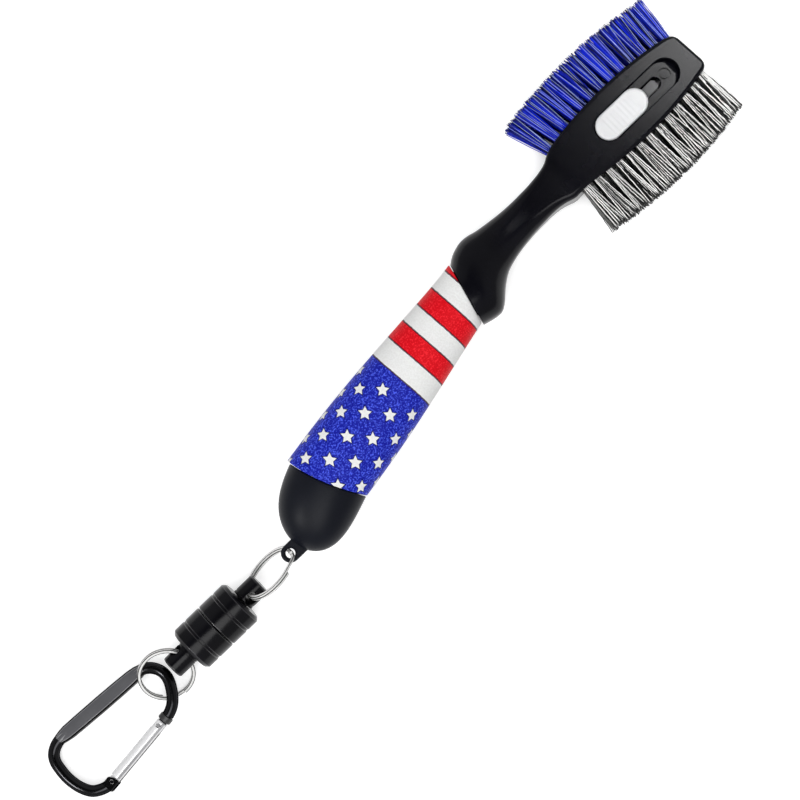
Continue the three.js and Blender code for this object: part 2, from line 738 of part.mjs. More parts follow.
// A strip that runs almost twice round and changes level once.
class SplitCoil extends THREE.Curve {
  constructor(radius, crossing) {
    super();
    Object.assign(this, { radius, crossing });
  }

  getPoint(t, target = new THREE.Vector3()) {
    const turn = -335 + 670 * t;
    const level = (ease((turn + 20) / 40) - 0.5) * RING_PITCH;
    const angle = (turn + this.crossing) * degrees;
    return target.set(this.radius * Math.cos(angle), this.radius * Math.sin(angle), level);
  }
}

function splitRing(outerDiameter, crossing) {
  const a = RING_COIL / 2;
  const b = RING_STRIP / 2;
  const edge = 0.22;
  const section = new THREE.Shape();
  section.moveTo(-a, -b + edge);
  section.lineTo(-a + edge, -b);
  section.lineTo(a - edge, -b);
  section.lineTo(a, -b + edge);
  section.lineTo(a, b - edge);
  section.lineTo(a - edge, b);
  section.lineTo(-a + edge, b);
  section.lineTo(-a, b - edge);
  return solid(new THREE.ExtrudeGeometry(section, {
    steps: 52, extrudePath: new SplitCoil(outerDiameter / 2 - b, crossing) }));
}

const upperRingRadius = (UPPER_RING - RING_STRIP) / 2;
const lowerRingRadius = (LOWER_RING - RING_STRIP) / 2;

// ---------------------------------------------------------------- clasp

// Half of the barrel, from the seam at x = 0 to its end, open at the seam for the magnet.
function claspShell() {
  const r = CLASP_DIAMETER / 2;
  const end = CLASP_LENGTH / 2;
  const g0 = CLASP_GROOVE_FROM_SEAM - CLASP_GROOVE / 2;
  const g1 = CLASP_GROOVE_FROM_SEAM + CLASP_GROOVE / 2;
  const bore = EYE_SPIGOT / 2 + GAP;
  const start = GAP / 2;
  return turned([
    [start, r - CLASP_WALL],
    [start, r - 0.3],
    [start + 0.3, r],
    [g0, r],
    [g0 + 0.2, r - CLASP_GROOVE_DEPTH],
    [g1 - 0.2, r - CLASP_GROOVE_DEPTH],
    [g1, r],
    [end - CLASP_CHAMFER, r],
    [end, r - CLASP_CHAMFER],
    [end, bore],
    [end - CLASP_END, bore],
    [end - CLASP_END, r - CLASP_WALL],
    [start, r - CLASP_WALL],
  ], 28);
}

function magnet() {
  const r = CLASP_DIAMETER / 2 - CLASP_WALL - GAP;
  return turned([
    [GAP, 0], [GAP, r - 0.3], [GAP + 0.3, r], [GAP + MAGNET_THICKNESS, r], [GAP + MAGNET_THICKNESS, 0],
  ], 24);
}

// End post, from the clasp's end face outwards, with a spigot that turns in the end wall and a
// cross hole for a split ring.
function claspEye(holeFromClasp, holeAxis) {
  const r = EYE_DIAMETER / 2;
  const base = CLASP_LENGTH / 2 + GAP;
  const end = CLASP_LENGTH / 2 + EYE_LENGTH;
  const inner = CLASP_LENGTH / 2 - CLASP_END - GAP;
  const screwHole = EYE_SCREW / 2 + GAP;
  const post = turned([
    [inner, screwHole],
    [inner, EYE_SPIGOT / 2],
    [base, EYE_SPIGOT / 2],
    [base, r],
    [end - 0.5, r],
    [end, r - 0.5],
    [end, 0],
    [base, 0],
    [base, screwHole],
    [inner, screwHole],
  ], 20);
  const centre = new THREE.Vector3(CLASP_LENGTH / 2 + holeFromClasp, 0, 0);
  return post.subtract(
    countersunkHole(centre, holeAxis, r, r - EYE_HOLE_FLARE, EYE_HOLE, EYE_HOLE_MOUTH));
}

function eyeScrew() {
  const seat = CLASP_LENGTH / 2 - CLASP_END - 2 * GAP;
  const head = 1.4;
  const end = CLASP_LENGTH / 2;
  const whole = turned([
    [seat - head, 0],
    [seat - head, EYE_SCREW_HEAD / 2 - 0.3],
    [seat - head + 0.3, EYE_SCREW_HEAD / 2],
    [seat, EYE_SCREW_HEAD / 2],
    [seat, EYE_SCREW / 2],
    [end, EYE_SCREW / 2],
    [end, 0],
  ], 18);
  return whole.subtract(block(seat - head - 1, seat - head + 0.6, -0.45, 0.45, -5, 5));
}

// ---------------------------------------------------------------- carabiner

// The gate's own frame: origin on the hinge pin, +X towards the free end, +Y to the inside.
const gateFrame = new THREE.Group();

// Where the rod ends behind the nose band, as seen from above, with the end rod at the ring at x = 0
// and the gate's side at negative y. The hinge pin is a gate's length away from it.
const NOSE_X = -8.3;
const NOSE_Y = -10.1;
const noseFromPin = GATE_LENGTH + GAP + NOSE_BAND;
const pinX = NOSE_X - noseFromPin * Math.cos(GATE_SLANT * degrees);
const pinY = NOSE_Y - noseFromPin * Math.sin(GATE_SLANT * degrees);
gateFrame.position.set(pinX, pinY, 0);
gateFrame.rotation.z = GATE_SLANT * degrees;
gateFrame.updateMatrixWorld();

// Middle line of the bend round the hinge end, from the hinge pin, up to the straight side.
const HINGE_BEND = [
  [-4.1, 0.7], [-6.9, 2.5], [-8.8, 5.9], [-9.8, 10.5], [-9.7, 14.6], [-9.2, 17.4],
  [-8, 19.4], [-5.9, 20.8], [-2.9, 21.5],
];
// Middle line of the bend round the ring's end, from the straight side up to the nose.
const RING_BEND = [
  [-5.1, 6.4], [-2.6, 5.2], [-0.9, 3.2], [0, 0.5], [-0.4, -2.3], [-2.3, -5.8],
  [-4.4, -8.2], [-6.5, -9.5],
];
const hingeBend = HINGE_BEND.map(([x, y]) => new THREE.Vector3(pinX + x, pinY + y, 0));
const ringBend = RING_BEND.map(([x, y]) => new THREE.Vector3(x, y, 0));
const spineStart = hingeBend[hingeBend.length - 1];
const spineEnd = ringBend[0];

function carabinerFrame() {
  const nose = new THREE.Vector3(noseFromPin, 0, 0).applyMatrix4(gateFrame.matrixWorld);
  const start = new THREE.Vector3(-HINGE_BLOCK / 2, 0, 0).applyMatrix4(gateFrame.matrixWorld);
  const third = spineStart.clone().lerp(spineEnd, 1 / 3);
  const twoThirds = spineStart.clone().lerp(spineEnd, 2 / 3);
  const line = [start, ...hingeBend, third, twoThirds, ...ringBend, nose];
  const section = new THREE.Shape();
  section.absarc(0, 0, rodRadius, 0, 2 * Math.PI, false);
  const bent = solid(new THREE.ExtrudeGeometry(section, {
    steps: 64, curveSegments: 10, extrudePath: new THREE.CatmullRomCurve3(line, false, 'centripetal') }));
  const ends = join([hingeBlock(), noseEnd()]);
  const placed = geometryOf(ends).applyMatrix4(gateFrame.matrixWorld);
  return cut(join([bent, spineBar(), solid(placed)]), [
    solid(geometryOf(forkSlot()).applyMatrix4(gateFrame.matrixWorld))]);
}

// The straight side is flattened and a little wider than the rod.
function spineBar() {
  const { x: x0, y: y0 } = spineStart;
  const { x: x1, y: y1 } = spineEnd;
  const half = SPINE_WIDTH / 2;
  const length = Math.hypot(x1 - x0, y1 - y0);
  const outline = new THREE.Shape();
  outline.moveTo(-0.6, -half * 0.8);
  outline.lineTo(3, -half);
  outline.lineTo(length - 2, -half);
  outline.lineTo(length + 1.2, -half * 0.7);
  outline.lineTo(length + 0.9, half * 0.6);
  outline.lineTo(length - 3, half);
  outline.lineTo(2, half);
  outline.lineTo(-0.9, half * 0.7);
  const edge = 0.5;
  const geometry = new THREE.ExtrudeGeometry(outline, {
    depth: ROD - 2 * edge,
    bevelThickness: edge,
    bevelSize: edge,
    bevelOffset: -edge,
    bevelSegments: 1,
  });
  geometry.translate(0, 0, edge - rodRadius);
  geometry.rotateZ(Math.atan2(y1 - y0, x1 - x0));
  return solid(moved(geometry, x0, y0, 0));
}

const hingeFront = 1.4; // of the hinge block ahead of the pin
const tongueHalf = 0.8; // half thickness of the gate's tongue
const noseHalf = 0.6; // half thickness of the nose's tongue
const tongueRadius = 1.5;

// The block's inner front corner is cut off along the line that the opened gate's end reaches.
function hingeBlock() {
  const r = rodRadius + 0.1;
  const swing = GATE_SWING * degrees;
  const outline = new THREE.Shape();
  outline.moveTo(-HINGE_BLOCK, -r);
  outline.lineTo(hingeFront, -r);
  outline.lineTo(hingeFront, 0);
  outline.lineTo((hingeFront - r * Math.sin(swing)) / Math.cos(swing), r);
  outline.lineTo(-HINGE_BLOCK, r);
  return plate(outline, -r, r);
}

// The gate's tongue turns in this slot, on the hinge pin.
function forkSlot() {
  const half = tongueHalf + GAP;
  const r = rodRadius + 1;
  return join([
    block(-tongueRadius - GAP, hingeFront + 1, -r, r, -half, half),
    rod([0, 0, -r], [0, 0, r], GATE_PIN / 2 + GAP, GATE_PIN / 2 + GAP, 12),
  ]);
}

// Band round the rod's end, and a flat tongue with a notch that the catch pin lies in.
function noseEnd() {
  const start = GATE_LENGTH + GAP;
  const band = rod([start, 0, 0], [start + NOSE_BAND, 0, 0],
    NOSE_BAND_DIAMETER / 2, NOSE_BAND_DIAMETER / 2, 16);
  const tongue = block(start - TONGUE_IN_GATE, start + 0.5, -1.3, 1.3, -noseHalf, noseHalf);
  const notch = GATE_PIN / 2 + GAP;
  return band.add(tongue.subtract(
    block(catchX - notch, catchX + notch, -notch, 2, -2, 2)));
}

const catchX = GATE_LENGTH - 1.7;

function carabinerGate() {
  const back = hingeFront + GAP;
  const slotStart = GATE_LENGTH - TONGUE_IN_GATE;
  const r = rodRadius;
  const tube = rod([back, 0, 0], [GATE_LENGTH, 0, 0], r, r, 20);
  const tongue = block(0, back + 1, -tongueRadius, tongueRadius, -tongueHalf, tongueHalf);
  const roundEnd = rod([0, 0, -tongueHalf], [0, 0, tongueHalf], tongueRadius, tongueRadius, 16);
  const pinHole = GATE_PIN / 2 + GAP;
  return cut(join([tube, tongue, roundEnd]), [
    rod([springStart - SPRING_WIRE / 2 - GAP, 0, 0], [slotStart + 1, 0, 0],
      GATE_BORE / 2, GATE_BORE / 2, 12),
    block(slotStart, GATE_LENGTH + 1, -r - 1, r + 1, -noseHalf - GAP, noseHalf + GAP),
    rod([0, 0, -r], [0, 0, r], pinHole, pinHole, 12),
    rod([catchX, 0, -r - 1], [catchX, 0, r + 1], pinHole, pinHole, 12),
  ]);
}

const springStart = 3.2;

function gatePin(halfLength) {
  return rod([0, 0, -halfLength], [0, 0, halfLength], GATE_PIN / 2, GATE_PIN / 2, 10);
}

// ---------------------------------------------------------------- materials

const finish = (color, roughness, metalness = 0) =>
  new THREE.MeshStandardMaterial({ color, roughness, metalness });

const blackPlastic = () => finish(0x17171c, 0.5);
const blueNylon = () => finish(0x1b22c4, 0.45);
const silverWire = () => finish(0xb9b6ae, 0.35, 0.9);
const whitePlastic = () => finish(0xeeeeee, 0.4);
const greyPlastic = () => finish(0x6c6c70, 0.5);
const steel = () => finish(0xb5b7bb, 0.3, 1);
const printedWrap = () => finish(0x2a33b4, 0.7);
const blackAnodised = () => finish(0x1c1c20, 0.3, 0.8);
const nickel = () => finish(0xd4d4d6, 0.15, 1);
const aluminium = () => finish(0xd9dadd, 0.25, 1);

// ---------------------------------------------------------------- assembly

const brush = new THREE.Group();

function add(parent, name, body, material) {
  const mesh = new THREE.Mesh(geometryOf(body), material);
  mesh.name = name;
  parent.add(mesh);
  return mesh;
}

// moulded frame and what is fixed to it
add(brush, 'handle_frame', handleFrame(), blackPlastic());
add(brush, 'channel_cover', channelCover(), blackPlastic());

const grip = new THREE.Group();
grip.position.copy(gripFrame.position);
grip.rotation.copy(gripFrame.rotation);
brush.add(grip);
add(grip, 'grip_sleeve', gripSleeve(), printedWrap());
add(grip, 'butt_cap', buttCap(), blackPlastic());

// tufts: nylon along +Y, fanned most at the neck's end; wire along -Y
for (let i = 0; i < TUFT_COLUMNS; i++) {
  const x = columnX(i);
  const label = String(i + 1).padStart(2, '0');
  const share = i / (TUFT_COLUMNS - 1);
  const depth = tuftDepth(x);
  const lean = NYLON_LEAN_REAR + share * (NYLON_LEAN_FRONT - NYLON_LEAN_REAR);
  const nylon = tuftColumn({ depth, length: NYLON_LENGTH, tipWidth: NYLON_TIP_WIDTH, lean });
  const wire = tuftColumn({ depth, length: WIRE_LENGTH, tipWidth: WIRE_TIP_WIDTH, lean: 0 });
  add(brush, `nylon_tuft_${label}`, nylon, blueNylon()).position.set(x, headHalfWidth(x), 0);
  const wireMesh = add(brush, `wire_tuft_${label}`, wire, silverWire());
  wireMesh.position.set(x, -headHalfWidth(x), 2 * rowHeight((TUFT_ROWS - 1) / 2));
  wireMesh.rotation.x = Math.PI;
}

// slider
add(brush, 'slider_button', sliderButton(), whitePlastic());
add(brush, 'spike_carriage', spikeCarriage(), greyPlastic());
add(brush, 'spike', spike(), steel()).position.set(0, 0, SPIKE_HEIGHT);
add(brush, 'detent_ball', detentBall(), steel()).position.set(DETENT_X, 0, ballHeight);
const detentSpring = coilSpring(0.85, SPRING_WIRE, 0, springTop - springBottom, 4);
add(brush, 'detent_spring', detentSpring, steel()).position.set(DETENT_X, 0, springBottom);

// upper ring: through the lug and the upper eye, tilted so that its wire-side edge is up
const lugPoint = lugHole.clone().applyMatrix4(gripFrame.matrixWorld);
const claspHeight = CLASP_DIAMETER / 2;
const fall = lugPoint.z - claspHeight;
const ringSpan = Math.sqrt((2 * (upperRingRadius - RING_SEAT)) ** 2 - fall ** 2);
const upperEyePoint = new THREE.Vector3(lugPoint.x - ringSpan, lugPoint.y, claspHeight);

const ringAlong = lugPoint.clone().sub(upperEyePoint).normalize();
const ringAcross = new THREE.Vector3(0, 1, 0).applyAxisAngle(ringAlong, -UPPER_RING_TILT * degrees);
const ringAxis = new THREE.Vector3().crossVectors(ringAlong, ringAcross);

const upperRing = new THREE.Group();
upperRing.position.copy(lugPoint).add(upperEyePoint).multiplyScalar(0.5);
upperRing.quaternion.setFromRotationMatrix(
  new THREE.Matrix4().makeBasis(ringAlong, ringAcross, ringAxis));
brush.add(upperRing);
add(upperRing, 'upper_split_ring', splitRing(UPPER_RING, -80), nickel());

// clasp, with its seam at the group's origin; the upper half looks along +X
const claspCentre = new THREE.Vector3(
  upperEyePoint.x - UPPER_EYE_HOLE_FROM_CLASP - CLASP_LENGTH / 2, upperEyePoint.y, claspHeight);
const upperHalf = new THREE.Group();
upperHalf.position.copy(claspCentre);
brush.add(upperHalf);
add(upperHalf, 'upper_eye', claspEye(UPPER_EYE_HOLE_FROM_CLASP, ringAcross), blackAnodised());
add(upperHalf, 'upper_eye_screw', eyeScrew(), steel());
add(upperHalf, 'clasp_upper_shell', claspShell(), blackAnodised());
add(upperHalf, 'upper_magnet', magnet(), nickel());

// lower ring: through the lower eye, rising towards the clasp and towards the nylon side
const lowerEyePoint = claspCentre.clone();
lowerEyePoint.x -= CLASP_LENGTH / 2 + LOWER_EYE_HOLE_FROM_CLASP;
const lowerAxis = new THREE.Vector3(-LOWER_RING_RISE, -LOWER_RING_ROLL, 1).normalize();
const lowerAlong = new THREE.Vector3(1, 0, LOWER_RING_RISE).normalize();
const lowerAcross = new THREE.Vector3().crossVectors(lowerAxis, lowerAlong);

const lowerHalf = new THREE.Group();
lowerHalf.position.copy(claspCentre);
lowerHalf.rotation.z = Math.PI;
lowerHalf.updateMatrixWorld();
brush.add(lowerHalf);
const lowerHoleAxis = lowerAcross.clone().applyQuaternion(lowerHalf.quaternion.clone().invert());
add(lowerHalf, 'lower_eye', claspEye(LOWER_EYE_HOLE_FROM_CLASP, lowerHoleAxis), blackAnodised());
add(lowerHalf, 'lower_eye_screw', eyeScrew(), steel());
add(lowerHalf, 'clasp_lower_shell', claspShell(), blackAnodised());
add(lowerHalf, 'lower_magnet', magnet(), nickel());

const lowerRing = new THREE.Group();
lowerRing.position.copy(lowerEyePoint).addScaledVector(lowerAlong, RING_SEAT - lowerRingRadius);
lowerRing.quaternion.setFromRotationMatrix(
  new THREE.Matrix4().makeBasis(lowerAlong, lowerAcross, lowerAxis));
brush.add(lowerRing);
add(lowerRing, 'lower_split_ring', splitRing(LOWER_RING, 190), nickel());

// carabiner: its far end lies on the table, its near end is held up between the ring's two sides
const carabiner = new THREE.Group();
carabiner.rotation.set(-CARABINER_ROLL * degrees, -CARABINER_TILT * degrees, 0);
carabiner.position.set(
  lowerRing.position.x - CARABINER_REACH, lowerRing.position.y + CARABINER_SHIFT, 0);
brush.add(carabiner);
add(carabiner, 'carabiner_frame', carabinerFrame(), blackAnodised());
carabiner.position.z -= new THREE.Box3().setFromObject(carabiner, true).min.z;
const gate = new THREE.Group();
gate.position.copy(gateFrame.position);
gate.rotation.copy(gateFrame.rotation);
carabiner.add(gate);
add(gate, 'carabiner_gate', carabinerGate(), aluminium());
add(gate, 'gate_hinge_pin', gatePin(rodRadius), steel());
add(gate, 'gate_catch_pin', gatePin(rodRadius - 0.1), steel()).position.set(catchX, 0, 0);
const gateSpring = add(gate, 'gate_spring', coilSpring(0.6, SPRING_WIRE, 0, 6, 5), steel());
gateSpring.position.set(springStart, 0, 0);
gateSpring.rotation.y = Math.PI / 2;

export default brush;
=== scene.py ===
# %% [markdown]
# # A golf groove brush on its carabiner
# The object is about 300 mm long: a moulded head with nylon tufts on one side and crimped wire tufts
# on the other, a neck, a printed grip, a butt cap, then a split ring, a magnetic clasp, a second split
# ring and a carabiner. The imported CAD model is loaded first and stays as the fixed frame. Every piece
# that is modelled below stands where its CAD part stands, and is written in millimetres times `MM`.

# %% Load the fixed frame
import math
import random

import bmesh
import bpy
from mathutils import Matrix, Vector


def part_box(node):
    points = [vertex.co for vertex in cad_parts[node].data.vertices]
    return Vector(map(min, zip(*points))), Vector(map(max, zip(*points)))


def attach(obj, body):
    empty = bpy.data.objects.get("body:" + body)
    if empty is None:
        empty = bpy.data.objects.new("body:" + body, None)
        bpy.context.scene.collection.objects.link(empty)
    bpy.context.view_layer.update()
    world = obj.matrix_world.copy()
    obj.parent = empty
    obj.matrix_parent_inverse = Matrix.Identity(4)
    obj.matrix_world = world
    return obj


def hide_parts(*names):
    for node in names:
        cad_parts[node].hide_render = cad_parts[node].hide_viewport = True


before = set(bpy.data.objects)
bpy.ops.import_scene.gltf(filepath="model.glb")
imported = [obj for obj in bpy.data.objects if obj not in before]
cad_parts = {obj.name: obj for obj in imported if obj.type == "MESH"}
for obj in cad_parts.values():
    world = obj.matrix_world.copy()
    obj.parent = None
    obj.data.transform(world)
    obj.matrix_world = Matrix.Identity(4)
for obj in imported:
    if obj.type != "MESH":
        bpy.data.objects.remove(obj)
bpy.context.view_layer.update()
MM = 0.001

# %% [markdown]
# ## The camera
# The photograph looks almost straight down from about a metre, four degrees over to the wire side, so
# of the upright walls only those that face that side are just seen. The picture is turned so that the
# brush runs from the lower left to the upper right. A camera can be turned with three angles, or made
# to track a target, but then its roll is hard to set. Here its matrix is built from the line of sight
# and the direction of the picture's right, which can both be read off the photograph.

# %% Camera
CAMERA_PLACE = Vector((-113.80, -92.68, 1008.0)) * MM
CAMERA_AIM = Vector((-113.80, -15.72, 8)) * MM
CAMERA_TURN = math.radians(-44.03)
CAMERA_ANGLE = math.radians(14.31)

sight = (CAMERA_AIM - CAMERA_PLACE).normalized()
right = Vector((math.cos(CAMERA_TURN), math.sin(CAMERA_TURN), 0))
right = (right - right.dot(sight) * sight).normalized()
up = right.cross(sight)

bpy.ops.object.select_all(action="DESELECT")
bpy.ops.object.camera_add(location=CAMERA_PLACE)
camera = bpy.context.object
camera.name = "camera"
turn = Matrix((right, up, -sight)).transposed().to_4x4()
camera.matrix_world = Matrix.Translation(CAMERA_PLACE) @ turn
camera.data.angle = CAMERA_ANGLE
bpy.context.scene.camera = camera
print("camera", round((CAMERA_PLACE - CAMERA_AIM).length / MM), "mm from the brush")

# %% [markdown]
# ## Helpers for materials
# Each finish is a Principled shader with a procedural pattern on Object coordinates, which run in
# metres along the part's own axes. Nodes could be placed and linked by hand, at five lines for each
# one. The helpers below add a node, set or link its sockets and hand back its output, so that each
# material reads as a short recipe.

# %% Material, node and link
def new_material(name, roughness, metallic=0.0, specular=0.5):
    """An empty Principled material; what is the same all over is set on the shader's own sockets."""
    material = bpy.data.materials.new(name)
    material.use_nodes = True
    shader = material.node_tree.nodes["Principled BSDF"]
    shader.inputs["Roughness"].default_value = roughness
    shader.inputs["Metallic"].default_value = metallic
    shader.inputs["Specular IOR Level"].default_value = specular
    return material, shader


def add_node(material, kind, **settings):
    made = material.node_tree.nodes.new("ShaderNode" + kind)
    for setting, value in settings.items():
        setattr(made, setting, value)
    return made


def plug(material, value, socket):
    """Links a socket, or sets a plain number or colour."""
    if isinstance(value, bpy.types.NodeSocket):
        material.node_tree.links.new(value, socket)
    else:
        socket.default_value = value


# %% [markdown]
# A pattern is a chain of a few kinds of node: sums, colour mixes, noise and ramps. Each kind has its
# helper here. Noise on stretched coordinates gives fine lines, as on drawn nylon or turned metal.

# %% Patterns
def sums(material, operation, *values):
    """One Math node."""
    made = add_node(material, "Math", operation=operation)
    for socket, value in zip(made.inputs, values):
        plug(material, value, socket)
    return made.outputs[0]


def blend_colours(material, share, first, second):
    """The first colour where share is 0, and the second where it is 1."""
    made = add_node(material, "Mix", data_type="RGBA")
    plug(material, share, made.inputs["Factor"])
    plug(material, first, made.inputs["A"])
    plug(material, second, made.inputs["B"])
    return made.outputs["Result"]


def map_axes(material, map_name):
    """The two coordinates of one of the piece's UV maps."""
    made = add_node(material, "SeparateXYZ")
    plug(material, add_node(material, "UVMap", uv_map=map_name).outputs["UV"], made.inputs[0])
    return made.outputs["X"], made.outputs["Y"]


def coordinates(material, stretch=(1, 1, 1)):
    """Object coordinates, stretched where a pattern runs along one axis."""
    place = add_node(material, "TexCoord").outputs["Object"]
    mapping = add_node(material, "Mapping")
    mapping.inputs["Scale"].default_value = stretch
    plug(material, place, mapping.inputs["Vector"])
    return mapping.outputs["Vector"]


def noise(material, size, detail=2.0, place=None):
    """Noise whose blotches are about size millimetres across."""
    made = add_node(material, "TexNoise")
    made.inputs["Scale"].default_value = 1 / (size * MM)
    made.inputs["Detail"].default_value = detail
    plug(material, place or coordinates(material), made.inputs["Vector"])
    return made.outputs["Fac"]


def ramp(material, share, low, high):
    """Spreads the part of a pattern between low and high over 0 to 1."""
    made = add_node(material, "MapRange")
    made.inputs["From Min"].default_value = low
    made.inputs["From Max"].default_value = high
    plug(material, share, made.inputs["Value"])
    return made.outputs["Result"]


def raise_surface(material, shader, height, depth, strength=1.0):
    """Bump of the given depth in millimetres."""
    bump = add_node(material, "Bump")
    bump.inputs["Strength"].default_value = strength
    bump.inputs["Distance"].default_value = depth * MM
    plug(material, height, bump.inputs["Height"])
    plug(material, bump.outputs["Normal"], shader.inputs["Normal"])


# %% [markdown]
# Most surfaces here are moulded, turned or rubbed, and differ only in colour, gloss and grain. A flat
# colour would look like paint, so this finish drifts between two close colours in clouds of some
# millimetres, and a much finer noise changes its gloss and raises its grain.

# %% Moulded finish
CLOUD_SIZE = 9
GLOSS_CHANGE = 0.12


def moulded(name, dark, light, roughness, grain, depth, specular=0.5, metallic=0.0):
    """Fine-grained finish: colour, gloss and surface all vary a little."""
    material, shader = new_material(name, roughness, metallic, specular)
    cloud = noise(material, CLOUD_SIZE, 3)
    colour = blend_colours(material, ramp(material, cloud, 0.3, 0.7), (*dark, 1), (*light, 1))
    plug(material, colour, shader.inputs["Base Color"])
    fine = noise(material, grain, 3)
    gloss = sums(material, "MULTIPLY_ADD", fine, GLOSS_CHANGE, roughness - GLOSS_CHANGE / 2)
    plug(material, gloss, shader.inputs["Roughness"])
    raise_surface(material, shader, fine, depth)
    return material


# %% [markdown]
# ## Lights and floor
# The photograph is a packshot on pure white: broad soft light from all round, darker straight above
# where the camera hangs, and almost no shadow. A ring of lamps could give that light. The world does it
# with less noise: a gradient from the horizon to the zenith keeps black plastic black from above, while
# its rounded edges catch a line. The camera itself sees plain white where it sees the world.

# %% World
world = bpy.data.worlds.new("studio")
bpy.context.scene.world = world
world.use_nodes = True
sky = world.node_tree
sky.nodes.clear()
direction = sky.nodes.new("ShaderNodeTexCoord")
split = sky.nodes.new("ShaderNodeSeparateXYZ")
shade = sky.nodes.new("ShaderNodeValToRGB")
glow = sky.nodes.new("ShaderNodeBackground")
plain = sky.nodes.new("ShaderNodeBackground")
chooser = sky.nodes.new("ShaderNodeMixShader")
path = sky.nodes.new("ShaderNodeLightPath")
out = sky.nodes.new("ShaderNodeOutputWorld")
sky.links.new(direction.outputs["Generated"], split.inputs[0])
sky.links.new(split.outputs["Z"], shade.inputs["Fac"])
sky.links.new(shade.outputs["Color"], glow.inputs["Color"])
sky.links.new(path.outputs["Is Camera Ray"], chooser.inputs[0])
sky.links.new(glow.outputs[0], chooser.inputs[1])
sky.links.new(plain.outputs[0], chooser.inputs[2])
sky.links.new(chooser.outputs[0], out.inputs["Surface"])
plain.inputs["Color"].default_value = (1, 1, 1, 1)
glow.inputs["Strength"].default_value = 1.0
# Height, from 0 at the horizon to 1 straight above, and the level of light there.
SKY = [(0.0, 0.4), (0.3, 0.5), (0.55, 0.5), (0.8, 0.45), (0.9, 0.12), (1.0, 0.03)]
while len(shade.color_ramp.elements) < len(SKY):
    shade.color_ramp.elements.new(0.5)
for stop, (height, level) in zip(shade.color_ramp.elements, SKY):
    stop.position = height
    stop.color = (level, level, level, 1)
print("world with", len(SKY), "levels of light")

# %% [markdown]
# Three area lamps add the brighter streaks: a large one over the wire side, a small one beyond the
# carabiner, and a weak narrow one over the head's tip. A point lamp or a sun would leave a hard
# dot or a hard edge in the gloss, and an area lamp leaves a soft one. Each lamp shines along its own
# -Z, so it is turned until that axis meets the place that it lights.

# %% Lamps
def soft_lamp(name, place, aim, size, power, spread):
    bpy.ops.object.select_all(action="DESELECT")
    bpy.ops.object.light_add(type="AREA", location=place)
    lamp = bpy.context.object
    lamp.name = name
    lamp.data.shape = "RECTANGLE"
    lamp.data.size, lamp.data.size_y = size
    lamp.data.energy = power
    lamp.data.spread = math.radians(spread)
    lamp.rotation_euler = (Vector(aim) - Vector(place)).to_track_quat("-Z", "Y").to_euler()


# Name, place, aim and size in metres, power in watts, and spread in degrees.
LAMPS = [
    ("lamp_wire_side", (-0.5, -0.36, 1.1), (-0.1, 0, 0), (0.65, 0.85), 7.4, 180),
    ("lamp_carabiner", (-1.1, 0.15, 0.85), (-0.25, 0, 0), (0.25, 0.3), 4.5, 180),
    ("lamp_tip", (0.115, 0.035, 0.36), (0.06, 0, 0), (0.08, 0.1), 0.0145, 26),
]
for lamp_row in LAMPS:
    soft_lamp(*lamp_row)
print("lamps and their watts:", {lamp_row[0]: lamp_row[4] for lamp_row in LAMPS})

# %% [markdown]
# The floor stands for white paper. Light strong enough to turn it white would be too strong for the
# brush, so its own colour is a light grey that takes the soft shadow, and a glow lifts it to white for
# the camera, for mirrors and for glass alone. Ambient occlusion takes the glow away in the narrow gaps
# between the strands, where hardly any light gets in.

# %% Floor
FLOOR_SIZE = 6
FLOOR_DROP = 0.3
FLOOR_GLOW = 0.72
GAP_REACH = 12
bpy.ops.object.select_all(action="DESELECT")
bpy.ops.mesh.primitive_plane_add(size=FLOOR_SIZE, location=(0, 0, -FLOOR_DROP * MM))
floor = bpy.context.object
floor.name = "floor"
floor_white, floor_shader = new_material("floor_white", 0.9, specular=0.0)
paper = ramp(floor_white, noise(floor_white, 40, 2), 0.0, 1.0)
paper_colour = blend_colours(floor_white, paper, (0.6, 0.6, 0.6, 1), (0.62, 0.62, 0.62, 1))
plug(floor_white, paper_colour, floor_shader.inputs["Base Color"])
seen = add_node(floor_white, "LightPath").outputs
direct = sums(floor_white, "MAXIMUM", seen["Is Camera Ray"], seen["Is Glossy Ray"])
direct = sums(floor_white, "MAXIMUM", direct, seen["Is Transmission Ray"])
nearby = add_node(floor_white, "AmbientOcclusion", samples=8)
nearby.inputs["Distance"].default_value = GAP_REACH * MM
open_floor = ramp(floor_white, nearby.outputs["AO"], 0.1, 0.45)
lift = sums(floor_white, "MULTIPLY", direct, sums(floor_white, "MULTIPLY", open_floor, FLOOR_GLOW))
floor_shader.inputs["Emission Color"].default_value = (1, 1, 1, 1)
plug(floor_white, lift, floor_shader.inputs["Emission Strength"])
floor.data.materials.append(floor_white)
bpy.context.scene.view_settings.view_transform = "Standard"
print("floor", FLOOR_SIZE, "m wide")

# %% [markdown]
# ## Helpers for modelling
# Most parts are a section that changes along a line: a rounded box along the neck, a circle round the
# carabiner. A curve with a bevel could sweep one section, but not change it on the way. So `loft` adds
# a circle primitive, lays it on the first section, and extrudes it from section to section, moving
# each new ring into shape. A hollow part ends by bridging its two open ends.

# %% Selecting and lofting
def select_only(*pieces):
    bpy.ops.object.select_all(action="DESELECT")
    for piece in pieces:
        piece.select_set(True)
    bpy.context.view_layer.objects.active = pieces[0]


def in_edit_mode(piece):
    """Opens a piece in edit mode with nothing selected."""
    select_only(piece)
    bpy.ops.object.mode_set(mode="EDIT")
    bpy.ops.mesh.select_mode(type="VERT")
    bpy.ops.mesh.select_all(action="DESELECT")


